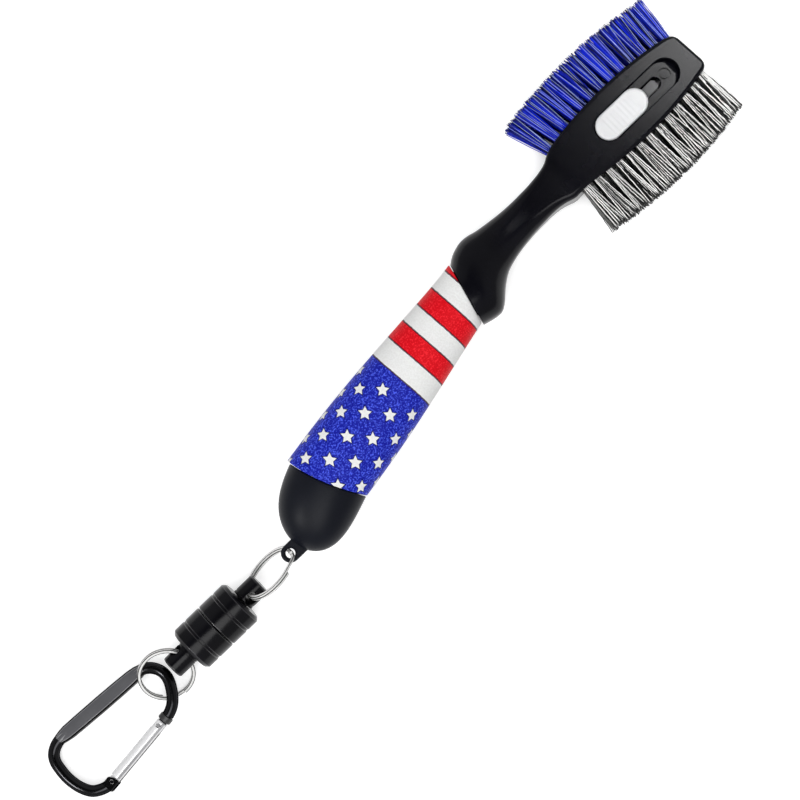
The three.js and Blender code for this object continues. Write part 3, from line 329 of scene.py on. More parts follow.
def lay_ring(piece, old, new):
    """Moves each selected vertex from its point of the old ring to the same point of the new one."""
    mesh = bmesh.from_edit_mesh(piece.data)
    for vertex in [vertex for vertex in mesh.verts if vertex.select]:
        nearest = min(range(len(old)), key=lambda i: (old[i] - vertex.co).length_squared)
        vertex.co = new[nearest]
    bmesh.update_edit_mesh(piece.data)


def middle_of(points):
    return sum(points, Vector()) / len(points)


def loft(name, rings, hollow=False):
    """A skin over rings of as many points each; solid, or a hollow loop of rings."""
    bpy.ops.object.select_all(action="DESELECT")
    bpy.ops.mesh.primitive_circle_add(vertices=len(rings[0]), radius=MM)
    piece = bpy.context.object
    piece.name = name
    for vertex, point in zip(piece.data.vertices, rings[0]):
        vertex.co = point
    bpy.ops.object.mode_set(mode="EDIT")
    bpy.ops.mesh.select_all(action="SELECT")
    if not hollow:
        bpy.ops.mesh.edge_face_add()
    for old, new in zip(rings, rings[1:]):
        shift = middle_of(new) - middle_of(old)
        bpy.ops.mesh.extrude_region_move(TRANSFORM_OT_translate={"value": shift})
        lay_ring(piece, [point + shift for point in old], new)
    if hollow:
        bpy.ops.mesh.select_all(action="DESELECT")
        bpy.ops.mesh.select_non_manifold(extend=False)
        bpy.ops.mesh.bridge_edge_loops()
    bpy.ops.mesh.select_all(action="SELECT")
    bpy.ops.mesh.normals_make_consistent(inside=False)
    bpy.ops.object.mode_set(mode="OBJECT")
    return piece


# %% [markdown]
# Holes and recesses could be built into a mesh by hand, but a cut with a second shape says more
# plainly what a drill or a mould does. `combine` cuts or joins with a Boolean modifier that is applied
# at once. `place` moves a piece and applies the move, so its place ends up in its mesh.

# %% Joining and placing
def combine(piece, tool, operation="DIFFERENCE"):
    select_only(piece)
    bpy.ops.object.modifier_add(type="BOOLEAN")
    step = piece.modifiers[-1]
    step.operation = operation
    step.solver = "EXACT"
    step.object = tool
    bpy.ops.object.modifier_apply(modifier=step.name)
    bpy.data.objects.remove(tool)


def join_all(name, pieces):
    select_only(*pieces)
    bpy.ops.object.join()
    bpy.context.object.name = name
    return bpy.context.object


def place(piece, matrix):
    piece.matrix_world = matrix @ piece.matrix_world
    select_only(piece)
    bpy.ops.object.transform_apply(location=True, rotation=True, scale=True)
    return piece


# %% [markdown]
# The cutters and the turned parts start from these shapes. A body of revolution could be made with
# Spin. A loft of circles along its axis gives the same body, with closed ends, and with the one helper
# that the rest uses.

# %% Blocks, turned bodies and holes
def block(x0, x1, y0, y1, z0, z1):
    """A cube stretched between two corners, in millimetres."""
    bpy.ops.object.select_all(action="DESELECT")
    bpy.ops.mesh.primitive_cube_add(size=1)
    piece = bpy.context.object
    centre = Vector((x0 + x1, y0 + y1, z0 + z1)) / 2 * MM
    size = Matrix.Diagonal(((x1 - x0) * MM, (y1 - y0) * MM, (z1 - z0) * MM, 1))
    return place(piece, Matrix.Translation(centre) @ size)


def circle(centre, first, second, radius, sides):
    """A ring of points round centre, in the plane of two unit vectors; all in metres."""
    turns = [2 * math.pi * i / sides for i in range(sides)]
    return [centre + radius * (math.cos(t) * first + math.sin(t) * second) for t in turns]


def turned(name, profile, sides=48, hollow=False):
    """A body of revolution about X from [x, radius] stations, in millimetres."""
    across, rise = Vector((0, 1, 0)), Vector((0, 0, 1))
    rings = [circle(Vector((x, 0, 0)) * MM, across, rise, max(r, 0.02) * MM, sides)
             for x, r in profile]
    return loft(name, rings, hollow)


def drill(start, end, radius, sides=24):
    """A cylinder between two points, in millimetres."""
    start, end = Vector(start) * MM, Vector(end) * MM
    bpy.ops.object.select_all(action="DESELECT")
    bpy.ops.mesh.primitive_cylinder_add(
        vertices=sides, radius=radius * MM, depth=(end - start).length)
    turn = (end - start).to_track_quat("Z", "Y").to_matrix().to_4x4()
    return place(bpy.context.object, Matrix.Translation((start + end) / 2) @ turn)


def flared_hole(centre, axis, half_depth, straight, width, mouth):
    """A drill that opens out towards both ends, for the hole that a ring passes through."""
    axis = Vector(axis).normalized()
    first = axis.orthogonal().normalized()
    second = axis.cross(first)
    slope = (mouth - width) / 2 / (half_depth - straight)
    far = half_depth + 1
    stations = [(-far, width / 2 + slope * (far - straight)), (-straight, width / 2),
                (straight, width / 2), (far, width / 2 + slope * (far - straight))]
    rings = [circle((Vector(centre) + axis * t) * MM, first, second, r * MM, 28)
             for t, r in stations]
    return loft("hole", rings)


# %% [markdown]
# The last step is the same for every piece. Faces that meet at a low angle are smoothed and sharper
# edges are kept. Weighted normals then keep large faces flat, so no dark patch runs into them from a
# rounded edge. The piece gets its material, and rides on the body that its CAD part moves with.

# %% Finishing
def finished(piece, material, body, slot, *nodes, angle=32):
    """Smooths and dresses a piece, gives it its body and hides the CAD nodes it stands for; slot is not
    used.
    """
    select_only(piece)
    bpy.ops.object.shade_smooth_by_angle(angle=math.radians(angle))
    bpy.ops.object.modifier_add(type="WEIGHTED_NORMAL")
    piece.modifiers[-1].keep_sharp = True
    bpy.ops.object.modifier_apply(modifier=piece.modifiers[-1].name)
    piece.data.materials.clear()
    piece.data.materials.append(material)
    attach(piece, body)
    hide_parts(*nodes)
    print(piece.name, len(piece.data.polygons), "faces")


def add_finishes(piece, numbers, *materials):
    """Gives each face the finish of its number, where 0 is the piece's own."""
    for material in materials:
        piece.data.materials.append(material)
    for face, number in zip(piece.data.polygons, numbers):
        face.material_index = number


# %% [markdown]
# ## The moulded frame
# Head, neck and finger collar are one moulding. The head is a flat slab that is widest in the middle;
# the neck narrows and grows rounder behind it, then swells to a collar that is cut off on a slant. It
# could be sculpted from a subdivided box, but then no size would be exact. The slab's section is a box
# with rounded corners, so every ring of the loft is such a box with its own width, height and corner.

# %% Sizes of the frame and its sections
HEAD_FRONT = 28.4
HEAD_REAR = 27.5
HEAD_WIDTH = 20.9
HEAD_TIP_WIDTH = 14.4
HEAD_REAR_WIDTH = 15.8
HEAD_THICKNESS = 15
NECK_LENGTH = 48
NECK_WIDTH = 11.7
NECK_THICKNESS = 12.6
COLLAR_WIDTH = 23.2
COLLAR_THICKNESS = 19.4
GRIP_MIDDLE = 10.4
GAP = 0.3
CORNER = 8  # steps round each corner


def section_point(index, half_width, half_height, corner_width, corner_height, steps=CORNER):
    """Point number index of a rounded box, as its offsets across and up."""
    quarter, step = divmod(index, steps + 1)
    side = (1, -1, -1, 1)[quarter]
    rise = (1, 1, -1, -1)[quarter]
    angle = math.radians(90 * (quarter + step / steps))
    across = side * (half_width - corner_width) + corner_width * math.cos(angle)
    return across, rise * (half_height - corner_height) + corner_height * math.sin(angle)


def handle_ring(x, y, z, *sizes):
    """A rounded box square to X, round a middle in millimetres."""
    points = [section_point(index, *sizes) for index in range(4 * (CORNER + 1))]
    return [Vector((x, y + across, z + up)) * MM for across, up in points]


def head_half_width(x):
    end, reach = (HEAD_TIP_WIDTH, HEAD_FRONT) if x > 0 else (HEAD_REAR_WIDTH, HEAD_REAR)
    return HEAD_WIDTH / 2 - (HEAD_WIDTH - end) / 2 * (x / reach) ** 2


print("head half width at its middle:", head_half_width(0))

# %% [markdown]
# The neck's rings are read off a small table, row by row, as if they were sketched on the photograph
# every few millimetres. Straight lines between the rows would leave a kink at each, so a smooth curve
# runs through them: each row's slope is that from the row before it to the row after it.

# %% Neck
# Share of the neck's length, sideways shift, width and thickness as steps from the neck's own
# towards the head's (negative) or the collar's (positive), and corner roundness.
NECK_TABLE = [
    (-0.22, 0, -1.77, -1, 0.14), (-0.094, 0, -1.376, -1, 0.15), (0.0, -0.65, -1.02, -0.97, 0.2),
    (0.05, -1.4, -0.74, -0.8, 0.26), (0.12, -1.3, -0.3, -0.5, 0.34), (0.18, -1.2, -0.1, -0.3, 0.42),
    (0.26, -1.25, 0, -0.1, 0.52), (0.36, -1.35, 0.02, 0, 0.68), (0.47, -1.5, 0.08, 0.03, 0.8),
    (0.57, -1.65, 0.19, 0.1, 0.86), (0.68, -2.05, 0.38, 0.3, 0.88), (0.74, -2.5, 0.58, 0.5, 0.9),
    (0.8, -3.6, 0.79, 0.72, 0.9), (0.86, -5.3, 0.96, 0.9, 0.9), (0.91, -6.6, 1, 1, 0.9),
    (0.96, -7.5, 0.86, 1, 0.9), (1.02, -7.6, 0.74, 1, 0.9), (1.1, -7.2, 0.62, 0.98, 0.9),
]


def curve_through(table, share):
    """Row of a table at a share between its rows, on a smooth curve through them."""
    last = len(table) - 2
    i = next(k for k in range(last + 1) if share <= table[k + 1][0] or k == last)
    before, start, end, after = table[max(i - 1, 0)], table[i], table[i + 1], table[min(i + 2, last + 1)]
    span = end[0] - start[0]
    t = (share - start[0]) / span
    row = []
    for a, b, c, d in list(zip(before, start, end, after))[1:]:
        slope_in = (c - a) / (end[0] - before[0]) * span
        slope_out = (d - b) / (after[0] - start[0]) * span
        row.append((2 * t**3 - 3 * t**2 + 1) * b + (t**3 - 2 * t**2 + t) * slope_in
                   + (3 * t**2 - 2 * t**3) * c + (t**3 - t**2) * slope_out)
    return row


def neck_ring(share):
    shift, width_step, thick_step, roundness = curve_through(NECK_TABLE, share)
    ends = (HEAD_REAR_WIDTH, COLLAR_WIDTH), (HEAD_THICKNESS, COLLAR_THICKNESS)
    width = NECK_WIDTH + abs(width_step) * (ends[0][width_step > 0] - NECK_WIDTH)
    thick = NECK_THICKNESS + abs(thick_step) * (ends[1][thick_step > 0] - NECK_THICKNESS)
    rise = min(max((share - 0.3) / 0.7, 0), 1)
    rise = rise * rise * (3 - 2 * rise)
    z = HEAD_THICKNESS / 2 + (GRIP_MIDDLE - HEAD_THICKNESS / 2) * rise
    half_width, half_height = width / 2, thick / 2
    return handle_ring(-HEAD_REAR - share * NECK_LENGTH, shift, z, half_width, half_height,
                       half_width * roundness, half_height * roundness)


print("neck table has", len(NECK_TABLE), "rows")

# %% [markdown]
# The loft starts at the head's tip, whose corners and edge are rounded by rings that come in more and
# more steeply towards the front. Rings every 3 mm follow the head's curved sides, and 47 more follow
# the neck. The tip's face is a little slanted, so its first rings are sheared.

# %% Head and neck
TIP_CORNER = 2.2
TIP_EDGE = 0.9
TIP_SLANT = 0.07
TIP_RINGS = (0, 0.06, 0.18, 0.36, 0.6, 0.9, 1.3, 1.7, 2.2)
EDGE_RADIUS = 1.2
NECK_FROM = -0.06
NECK_SPAN = 1.16
NECK_RINGS = 46


def drawn_in(radius, back):
    """How far a rounded corner stands in, at a distance back from the front."""
    return radius - math.sqrt(radius**2 - (radius - min(back, radius)) ** 2)


half_thick = HEAD_THICKNESS / 2
rings = []
for back in TIP_RINGS:
    x = HEAD_FRONT - back
    rings.append(handle_ring(x, 0, half_thick, head_half_width(x) - drawn_in(TIP_CORNER, back),
                             half_thick - drawn_in(TIP_EDGE, back), EDGE_RADIUS, EDGE_RADIUS))
    for point in rings[-1]:
        point.x -= TIP_SLANT * (point.y + head_half_width(x) * MM)
for x in range(24, -22, -3):
    rings.append(handle_ring(x, 0, half_thick, head_half_width(x), half_thick,
                             EDGE_RADIUS, EDGE_RADIUS))
rings += [neck_ring(NECK_FROM + NECK_SPAN * i / NECK_RINGS) for i in range(NECK_RINGS + 1)]
handle = loft("handle", rings)
print("handle loft:", len(handle.data.vertices), "vertices")

# %% [markdown]
# The grip has its own frame: u runs from the collar to the butt, v to the wire side. Written as a
# matrix, it puts any point of the grip in the part's frame. The collar's face is a slanted plane in
# that frame, so the loft is cut there with Bisect, and the new edge is rounded with Bevel.

# %% Grip frame and the collar's face
GRIP_ANGLE = math.radians(9.3)
GRIP_START = Vector((-75.57, -5.96, GRIP_MIDDLE)) * MM
COLLAR_SLANT = math.radians(23.7)
RIM_ROUND = 0.7
GRIP_LENGTH = 74.5
grip_frame = Matrix.Translation(GRIP_START) @ Matrix.Rotation(math.pi + GRIP_ANGLE, 4, "Z")


def grip_point(u, v, w):
    """A point of the grip, u along it, v to the wire side and w up from its middle."""
    return grip_frame @ (Vector((u, v, w)) * MM)


turn_only = grip_frame.to_3x3()
face_normal = turn_only @ Vector((math.cos(COLLAR_SLANT), -math.sin(COLLAR_SLANT), 0))
in_edit_mode(handle)
bpy.ops.mesh.select_all(action="SELECT")
bpy.ops.mesh.bisect(plane_co=GRIP_START, plane_no=face_normal, use_fill=True, clear_outer=True)
bpy.ops.mesh.select_mode(type="EDGE")
mesh = bmesh.from_edit_mesh(handle.data)
for face in mesh.faces:
    face.select = False
rim = [edge for edge in mesh.edges
       if all(abs((vertex.co - GRIP_START).dot(face_normal)) < 1e-6 for vertex in edge.verts)]
for edge in rim:
    edge.select = True
bmesh.update_edit_mesh(handle.data)
bpy.ops.mesh.bevel(offset=RIM_ROUND * MM, segments=3, affect="EDGES", clamp_overlap=True)
bpy.ops.mesh.select_mode(type="VERT")
bpy.ops.object.mode_set(mode="OBJECT")
print("collar's rim had", len(rim), "edges")

# %% [markdown]
# Inside the sleeve the moulding goes on as a core. It is a second loft with the grip's own swelling
# section, drawn in by the sleeve's wall, and it is joined to the handle with a Boolean union.

# %% Grip section and core
GRIP_ROOT = (18.9, 18.4)
GRIP_FULL = (26.5, 20.8)
GRIP_ROUND = 0.92
SLEEVE_WALL = 2
CORE_INSET = 0.4
CORE_RINGS = 8
CORE_BORE = 8.6


def grip_sizes(u, inset=0.0):
    """Half width and height of the grip at u, and the same of its corners."""
    share = min(max(u / (0.91 * GRIP_LENGTH), 0), 1)
    swell = math.sin(math.pi / 2 * share) ** 1.25
    half_width = (GRIP_ROOT[0] + (GRIP_FULL[0] - GRIP_ROOT[0]) * swell) / 2 - inset
    half_height = (GRIP_ROOT[1] + (GRIP_FULL[1] - GRIP_ROOT[1]) * swell) / 2 - inset
    return half_width, half_height, half_width * GRIP_ROUND, half_height * GRIP_ROUND


def sleeve_start(v):
    """Where the sleeve begins: a gap behind the collar's slanted face."""
    return GAP / math.cos(COLLAR_SLANT) + v * math.tan(COLLAR_SLANT)


def butt_line(v):
    """Where the butt cap begins: a shallow curve, further back on the nylon side."""
    return GRIP_LENGTH - 0.235 * v - 0.0085 * v * v


def grip_ring(reach, inset, steps, first=sleeve_start, last=butt_line):
    """Ring at a share of the way from the sleeve's start to its end, which are not square cuts."""
    points = []
    for index in range(4 * (steps + 1)):
        u = GRIP_LENGTH / 2
        for _ in range(5):
            v, w = section_point(index, *grip_sizes(u, inset), steps)
            u = first(v) + reach * (last(v) - first(v))
        points.append(grip_point(u, v, w))
    return points


def core_start(v):
    """Just inside the collar, along its slant."""
    return -1.0 + 0.4 * v


def core_end(v):
    return butt_line(v) - 0.6


core = loft("core", [grip_ring(i / CORE_RINGS, SLEEVE_WALL + CORE_INSET, CORNER, core_start, core_end)
                     for i in range(CORE_RINGS + 1)])
bore = drill((10, 0, 0), (90, 0, 0), CORE_BORE / 2, 32)
combine(core, place(bore, grip_frame))
combine(handle, core, "UNION")
print("handle with core:", len(handle.data.polygons), "faces")

# %% [markdown]
# The head is then cut as the real mould shapes it: the long recess for the button with a crescent
# pocket at its front, the slot for the button's stem, the slider's channel with its cover's seat at
# the back, the bore for the spike, and a ring-shaped dimple. Each cutter is a primitive or a small
# loft, and the recess's cutter flares at the top, which leaves a soft lip.

# %% Cutters for the head
RECESS = (-12, 21.6, 9.4)
RECESS_FLOOR = 13.4
LIP = 0.25
POCKET = 1.9
POCKET_START = 2
POCKET_DEPTH = 1.1
STEM_SLOT = (-3.3, 14.5, 4)
CHANNEL_TOP = 11.8
CHANNEL_HALF = 3.8
CHANNEL_REAR, CHANNEL_FRONT = -9.3, 26.8
SEAT_HALF = 5.2
SEAT_REAR = -10.7
SEAT_DEPTH = 2.0
SPIKE_HEIGHT = 6.5
SPIKE_BORE = 1.5
DIMPLE_X = 16.7
DIMPLE_OUTER, DIMPLE_INNER, DIMPLE_DEPTH = 2.05, 1.3, 0.9


def long_round(x0, x1, width, z, grow=0.0, steps=12):
    """Ring of a slot with round ends."""
    radius = width / 2
    points = []
    for centre, start in ((x1 - radius, -90), (x0 + radius, 90)):
        for step in range(steps + 1):
            angle = math.radians(start + 180 * step / steps)
            points.append(Vector((centre + (radius + grow) * math.cos(angle),
                                  (radius + grow) * math.sin(angle), z)) * MM)
    return points


def slot_cutter(x0, x1, width, floor_height, lip=0.0, top=HEAD_THICKNESS):
    """Cuts a slot down to its floor; a lip widens the slot's mouth by as much as it is deep."""
    rings = [long_round(x0, x1, width, floor_height)]
    if lip:
        rings.append(long_round(x0, x1, width, top - lip))
        rings.append(long_round(x0, x1, width, top + 0.001, lip))
    rings.append(long_round(x0, x1, width, top + 1, lip))
    return loft("cutter", rings)


combine(handle, slot_cutter(*RECESS, RECESS_FLOOR, LIP))
pocket = slot_cutter(POCKET_START, RECESS[1], RECESS[2], RECESS_FLOOR - POCKET_DEPTH)
inner_edge = (0, RECESS[1] - POCKET, RECESS[2])
keep = loft("keep", [long_round(*inner_edge, RECESS_FLOOR - POCKET_DEPTH - 0.01, POCKET),
                     long_round(*inner_edge, RECESS_FLOOR), long_round(*inner_edge, HEAD_THICKNESS + 3)])
combine(pocket, keep)
combine(handle, pocket)
combine(handle, slot_cutter(*STEM_SLOT, CHANNEL_TOP - 1, 0.15, RECESS_FLOOR))
combine(handle, block(CHANNEL_REAR, CHANNEL_FRONT, -CHANNEL_HALF, CHANNEL_HALF, -1, CHANNEL_TOP))
combine(handle, block(SEAT_REAR, CHANNEL_FRONT, -SEAT_HALF, SEAT_HALF, -1, SEAT_DEPTH))
combine(handle, drill((CHANNEL_FRONT - 1, 0, SPIKE_HEIGHT), (30, 0, SPIKE_HEIGHT), SPIKE_BORE))
dimple = drill((DIMPLE_X, 0, RECESS_FLOOR - DIMPLE_DEPTH), (DIMPLE_X, 0, RECESS_FLOOR + 1),
               DIMPLE_OUTER, 32)
combine(dimple, drill((DIMPLE_X, 0, 12), (DIMPLE_X, 0, 16), DIMPLE_INNER, 32))
combine(handle, dimple)
print("head cut:", len(handle.data.polygons), "faces")

# %% [markdown]
# Tufts sit in blind holes, three above each other in each of thirteen columns, on both sides of the
# head. The holes are shallower at the head's ends, so that a wall is left beside the channel. All the
# drills are joined first, so that one Boolean cuts them all, which is far quicker than 78 of them.

# %% Tuft holes
TUFT_COLUMNS = 13
TUFT_SPAN = 50.2
TUFT_DEPTH = 5.2
HOLE_RADIUS = 1.5
HOLE_WALL = 1
ROW_HEIGHTS = (4.0, 7.75, 11.5)


def column_x(column):
    return (column / (TUFT_COLUMNS - 1) - 0.5) * TUFT_SPAN


def tuft_depth(x):
    return min(TUFT_DEPTH, head_half_width(x) - CHANNEL_HALF - HOLE_WALL)


holes = []
for column in range(TUFT_COLUMNS):
    x = column_x(column)
    for height in ROW_HEIGHTS:
        for side in (1, -1):
            inner = side * (head_half_width(x) - tuft_depth(x))
            outer = side * (head_half_width(x) + 1)
            holes.append(drill((x, inner, height), (x, outer, height), HOLE_RADIUS, 16))
combine(handle, join_all("holes", holes))
print(2 * TUFT_COLUMNS * len(ROW_HEIGHTS), "tuft holes")

# %% [markdown]
# The moulding is black plastic with a fine even grain. A dark grey with strong gloss would look like
# lacquer. The colour stays near zero and the gloss low, so that what is seen is the soft streak along
# each rounded edge.

# %% Finish of the frame
black_plastic = moulded("black_plastic", (0.002, 0.002, 0.0038), (0.004, 0.004, 0.007),
                        0.23, 0.25, 0.006, specular=0.15)
finished(handle, black_plastic, "brush", "black_plastic", "handle_frame")

# %% [markdown]
# ## The slider's button
# A white button with round ends, softly rounded all round, and a row of shallow grooves across its
# top that leave grip ribs. A bevel could round a slot-shaped block, but it would round the grooves and
# the stem as well. So the button is extruded from a slot-shaped ring and drawn in step by step. The
# grooves are one thin cutter, repeated with an Array modifier.

# %% Slider button
BUTTON = (-11.6, 8.0, 8.8)
BUTTON_TOP = 16.8
BUTTON_EDGE = 0.8
RIBS = 7
RIB_GROOVE = 0.22
STEM = (-2.7, 1, 3.4)
STEM_FOOT = 8.9
rings = [long_round(*BUTTON, RECESS_FLOOR + GAP, -0.15),
         long_round(*BUTTON, RECESS_FLOOR + GAP + 0.15)]
for step in range(7):
    angle = math.radians(90 * step / 6)
    rings.append(long_round(*BUTTON, BUTTON_TOP - BUTTON_EDGE * (1 - math.sin(angle)),
                            -BUTTON_EDGE * (1 - math.cos(angle))))
button = loft("button", rings)
stem = loft("stem", [long_round(*STEM, STEM_FOOT), long_round(*STEM, RECESS_FLOOR + 1)])
combine(button, stem, "UNION")
pitch = (BUTTON[1] - BUTTON[0] - BUTTON[2]) / RIBS
first_x = (BUTTON[0] + BUTTON[1]) / 2 - RIBS / 2 * pitch
reach = BUTTON[2] / 2 - 1.1
rings = []
for z, grow in ((BUTTON_TOP - 0.1, -0.1), (BUTTON_TOP - 0.03, 0.1), (BUTTON_TOP + 1, 4)):
    rings.append([Vector((first_x + sx * (RIB_GROOVE * pitch + grow), sy * (reach + grow), z)) * MM
                  for sx, sy in ((1, 1), (-1, 1), (-1, -1), (1, -1))])
grooves = loft("grooves", rings)
bpy.ops.object.modifier_add(type="ARRAY")
row = grooves.modifiers[-1]
row.count = RIBS + 1
row.use_relative_offset = False
row.use_constant_offset = True
row.constant_offset_displace = (pitch * MM, 0, 0)
bpy.ops.object.modifier_apply(modifier=row.name)
combine(button, grooves)
white_plastic = moulded("white_plastic", (0.74, 0.745, 0.76), (0.8, 0.805, 0.815), 0.36, 0.3, 0.006)
finished(button, white_plastic, "slider", "white_plastic", "slider_button")

# %% [markdown]
# ## The printed sleeve
# A thin pebbled sleeve with red and white stripes and white stars on blue, a traditional pattern. It
# is a hollow loft: outside rings from the slanted collar to the curved butt, with a small rolled lip
# at both ends, and a wall inside. Solidify could give a sheet that wall, but not its square-cut ends.

# %% Sleeve
SLEEVE_CORNER = 20
SLEEVE_STEPS = 40
SLEEVE_LIP = 0.35
CORE_FIT = 0.15
LIP_CURVE = [(0, 1), (0.13, 0.5), (0.5, 0.13), (1, 0)]


def sleeve_end(v):
    return butt_line(v) - GAP


def sleeve_ring(reach, inset):
    return grip_ring(reach, inset, SLEEVE_CORNER, last=sleeve_end)


length_share = SLEEVE_LIP / GRIP_LENGTH
inner = SLEEVE_WALL - CORE_FIT
rings = [sleeve_ring(1, inner), sleeve_ring(0, inner)]
for forward, inward in LIP_CURVE:
    rings.append(sleeve_ring(forward * length_share, inward * SLEEVE_LIP))
for step in range(1, SLEEVE_STEPS):
    rings.append(sleeve_ring(step / SLEEVE_STEPS, 0))
for forward, inward in reversed(LIP_CURVE):
    rings.append(sleeve_ring(1 - forward * length_share, inward * SLEEVE_LIP))
sleeve = loft("sleeve", rings, hollow=True)
print("sleeve:", len(sleeve.data.polygons), "faces")

# %% [markdown]
# The print must follow the grip, so the sleeve gets a UV map: s, the distance along the grip, and the
# turn round it, counted in rows of stars. Blender's own unwrapping would need a seam and leave the
# scale to chance. The lines across the print run on a slant, which is largest at the grip's two sides.

# %% Print map
STAR_ROWS = 12
ROW_ANGLE = 360 / STAR_ROWS
FIRST_ROW = 8.4
SLANT = 0.42
MAP_LENGTH = 100.0


def turn_round_grip(point):
    """Angle round the grip in degrees, from the top towards the nylon side, and u."""
    u, v, w = (grip_frame.inverted() @ point) / MM
    half_width, half_height, _, _ = grip_sizes(u)
    return math.degrees(math.atan2(-v / half_width, w / half_height)), u


print_map = sleeve.data.uv_layers.new(name="print")
for face in sleeve.data.polygons:
    middle, _ = turn_round_grip(face.center)
    for corner in face.loop_indices:
        point = sleeve.data.vertices[sleeve.data.loops[corner].vertex_index].co
        angle, u = turn_round_grip(point)
        side = math.copysign(min(abs(angle), 180 - abs(angle)), angle)
        s = u + SLANT * side / ROW_ANGLE
        if angle - middle > 180:
            angle -= 360
        if middle - angle > 180:
            angle += 360
        row = (FIRST_ROW - angle) / ROW_ANGLE
        print_map.data[corner].uv = (s / MAP_LENGTH, row / STAR_ROWS)
print("print map:", len(print_map.data), "corners")

# %% [markdown]
# The print is worked out in the shader, which stays sharp at any distance, where faces cut along each
# star would make a heavy mesh. Stripes are s modulo their pitch. A little noise is added to s first,
# because ink on a pebbled surface has a slightly ragged edge.

# %% Stripes
STRIPE_PITCH = 13.6
STRIPE_WIDTH = 6.8
STRIPE_START = 7.4
BLUE_START = 34.1

sleeve_print, sleeve_shader = new_material("sleeve_print", 0.5, specular=0.15)
mat = sleeve_print
map_s, map_row = map_axes(mat, "print")
s = sums(mat, "MULTIPLY", map_s, MAP_LENGTH)
row = sums(mat, "MULTIPLY", map_row, float(STAR_ROWS))
waver = sums(mat, "MULTIPLY_ADD", noise(mat, 1.2, 2), 0.3, -0.15)
s_edge = sums(mat, "ADD", s, waver)

in_stripe = sums(mat, "FLOORED_MODULO", sums(mat, "ADD", s_edge, STRIPE_START), STRIPE_PITCH)
is_red = sums(mat, "LESS_THAN", in_stripe, STRIPE_WIDTH)
is_red = sums(mat, "MULTIPLY", is_red, sums(mat, "LESS_THAN", s, BLUE_START - STRIPE_WIDTH / 2))
is_blue = sums(mat, "GREATER_THAN", s_edge, BLUE_START)
print("stripes of", STRIPE_WIDTH, "mm")

# %% [markdown]
# For the stars, each point is folded into the cell of its nearest star, with every other row shifted
# by half a pitch. Then it is folded into a tenth of that star, from the middle of a point to the
# waist beside it. There one straight line divides star from ground, and the same line, moved out a
# little, gives the star its dark rim.

# %% Stars
STAR_START = 37.1
STAR_FIRST = 40.3
STAR_PITCH = 9.1
STAR_RADIUS = 2.15
STAR_WAIST = 0.5
ROW_SPACING = 6.2
INK_LINE = 0.25
TENTH = math.pi / 5

nearest_row = sums(mat, "ROUND", row)
across = sums(mat, "MULTIPLY", sums(mat, "SUBTRACT", row, nearest_row), ROW_SPACING)
odd = sums(mat, "FLOORED_MODULO", nearest_row, 2.0)
along = sums(mat, "SUBTRACT", s, sums(mat, "MULTIPLY_ADD", odd, STAR_PITCH / 2, STAR_FIRST))
nearest_star = sums(mat, "ROUND", sums(mat, "DIVIDE", along, STAR_PITCH))
along = sums(mat, "SUBTRACT", along, sums(mat, "MULTIPLY", nearest_star, STAR_PITCH))
heading = sums(mat, "ARCTAN2", across, along)
folded = sums(mat, "FLOORED_MODULO", sums(mat, "ADD", heading, TENTH), 2 * TENTH)
folded = sums(mat, "ABSOLUTE", sums(mat, "SUBTRACT", folded, TENTH))
reach = sums(mat, "SQRT", sums(mat, "ADD", sums(mat, "MULTIPLY", across, across),
                               sums(mat, "MULTIPLY", along, along)))
towards_point = sums(mat, "MULTIPLY", reach, sums(mat, "COSINE", folded))
off_point = sums(mat, "MULTIPLY", reach, sums(mat, "SINE", folded))
waist = STAR_WAIST * STAR_RADIUS
line_length = math.hypot(waist * math.sin(TENTH), STAR_RADIUS - waist * math.cos(TENTH))
line_x = waist * math.sin(TENTH) / line_length
line_y = (STAR_RADIUS - waist * math.cos(TENTH)) / line_length
past_line = sums(mat, "ADD",
                 sums(mat, "MULTIPLY", sums(mat, "SUBTRACT", towards_point, STAR_RADIUS), line_x),
                 sums(mat, "MULTIPLY", off_point, line_y))
is_star = sums(mat, "LESS_THAN", past_line, 0.0)
whole_star = sums(mat, "GREATER_THAN", sums(mat, "SUBTRACT", s, along), STAR_START)
is_star = sums(mat, "MULTIPLY", is_star, whole_star)
star_rim = sums(mat, "MULTIPLY", sums(mat, "LESS_THAN", past_line, INK_LINE), whole_star)
print("stars", 2 * STAR_RADIUS, "mm across")

# %% [markdown]
# Ink builds up in a dark line wherever two colours meet: at both edges of each stripe, found with one
# Ping-Pong node, and where the blue begins. The pebbled surface is one noise. It is used for the bump,
# and for the lighter flecks that the photograph shows on the red and the blue.

# %% Ink and pebbles
INK_SHARE = 0.9
edge = sums(mat, "PINGPONG", in_stripe, STRIPE_WIDTH)
edge = sums(mat, "MINIMUM", edge, sums(mat, "SUBTRACT", STRIPE_WIDTH, edge))
blue_edge = sums(mat, "ABSOLUTE", sums(mat, "SUBTRACT", s_edge, BLUE_START))
edge = sums(mat, "MAXIMUM", edge, sums(mat, "GREATER_THAN", s, BLUE_START - STRIPE_WIDTH / 2))
ink_line = sums(mat, "LESS_THAN", sums(mat, "MINIMUM", edge, blue_edge), INK_LINE)

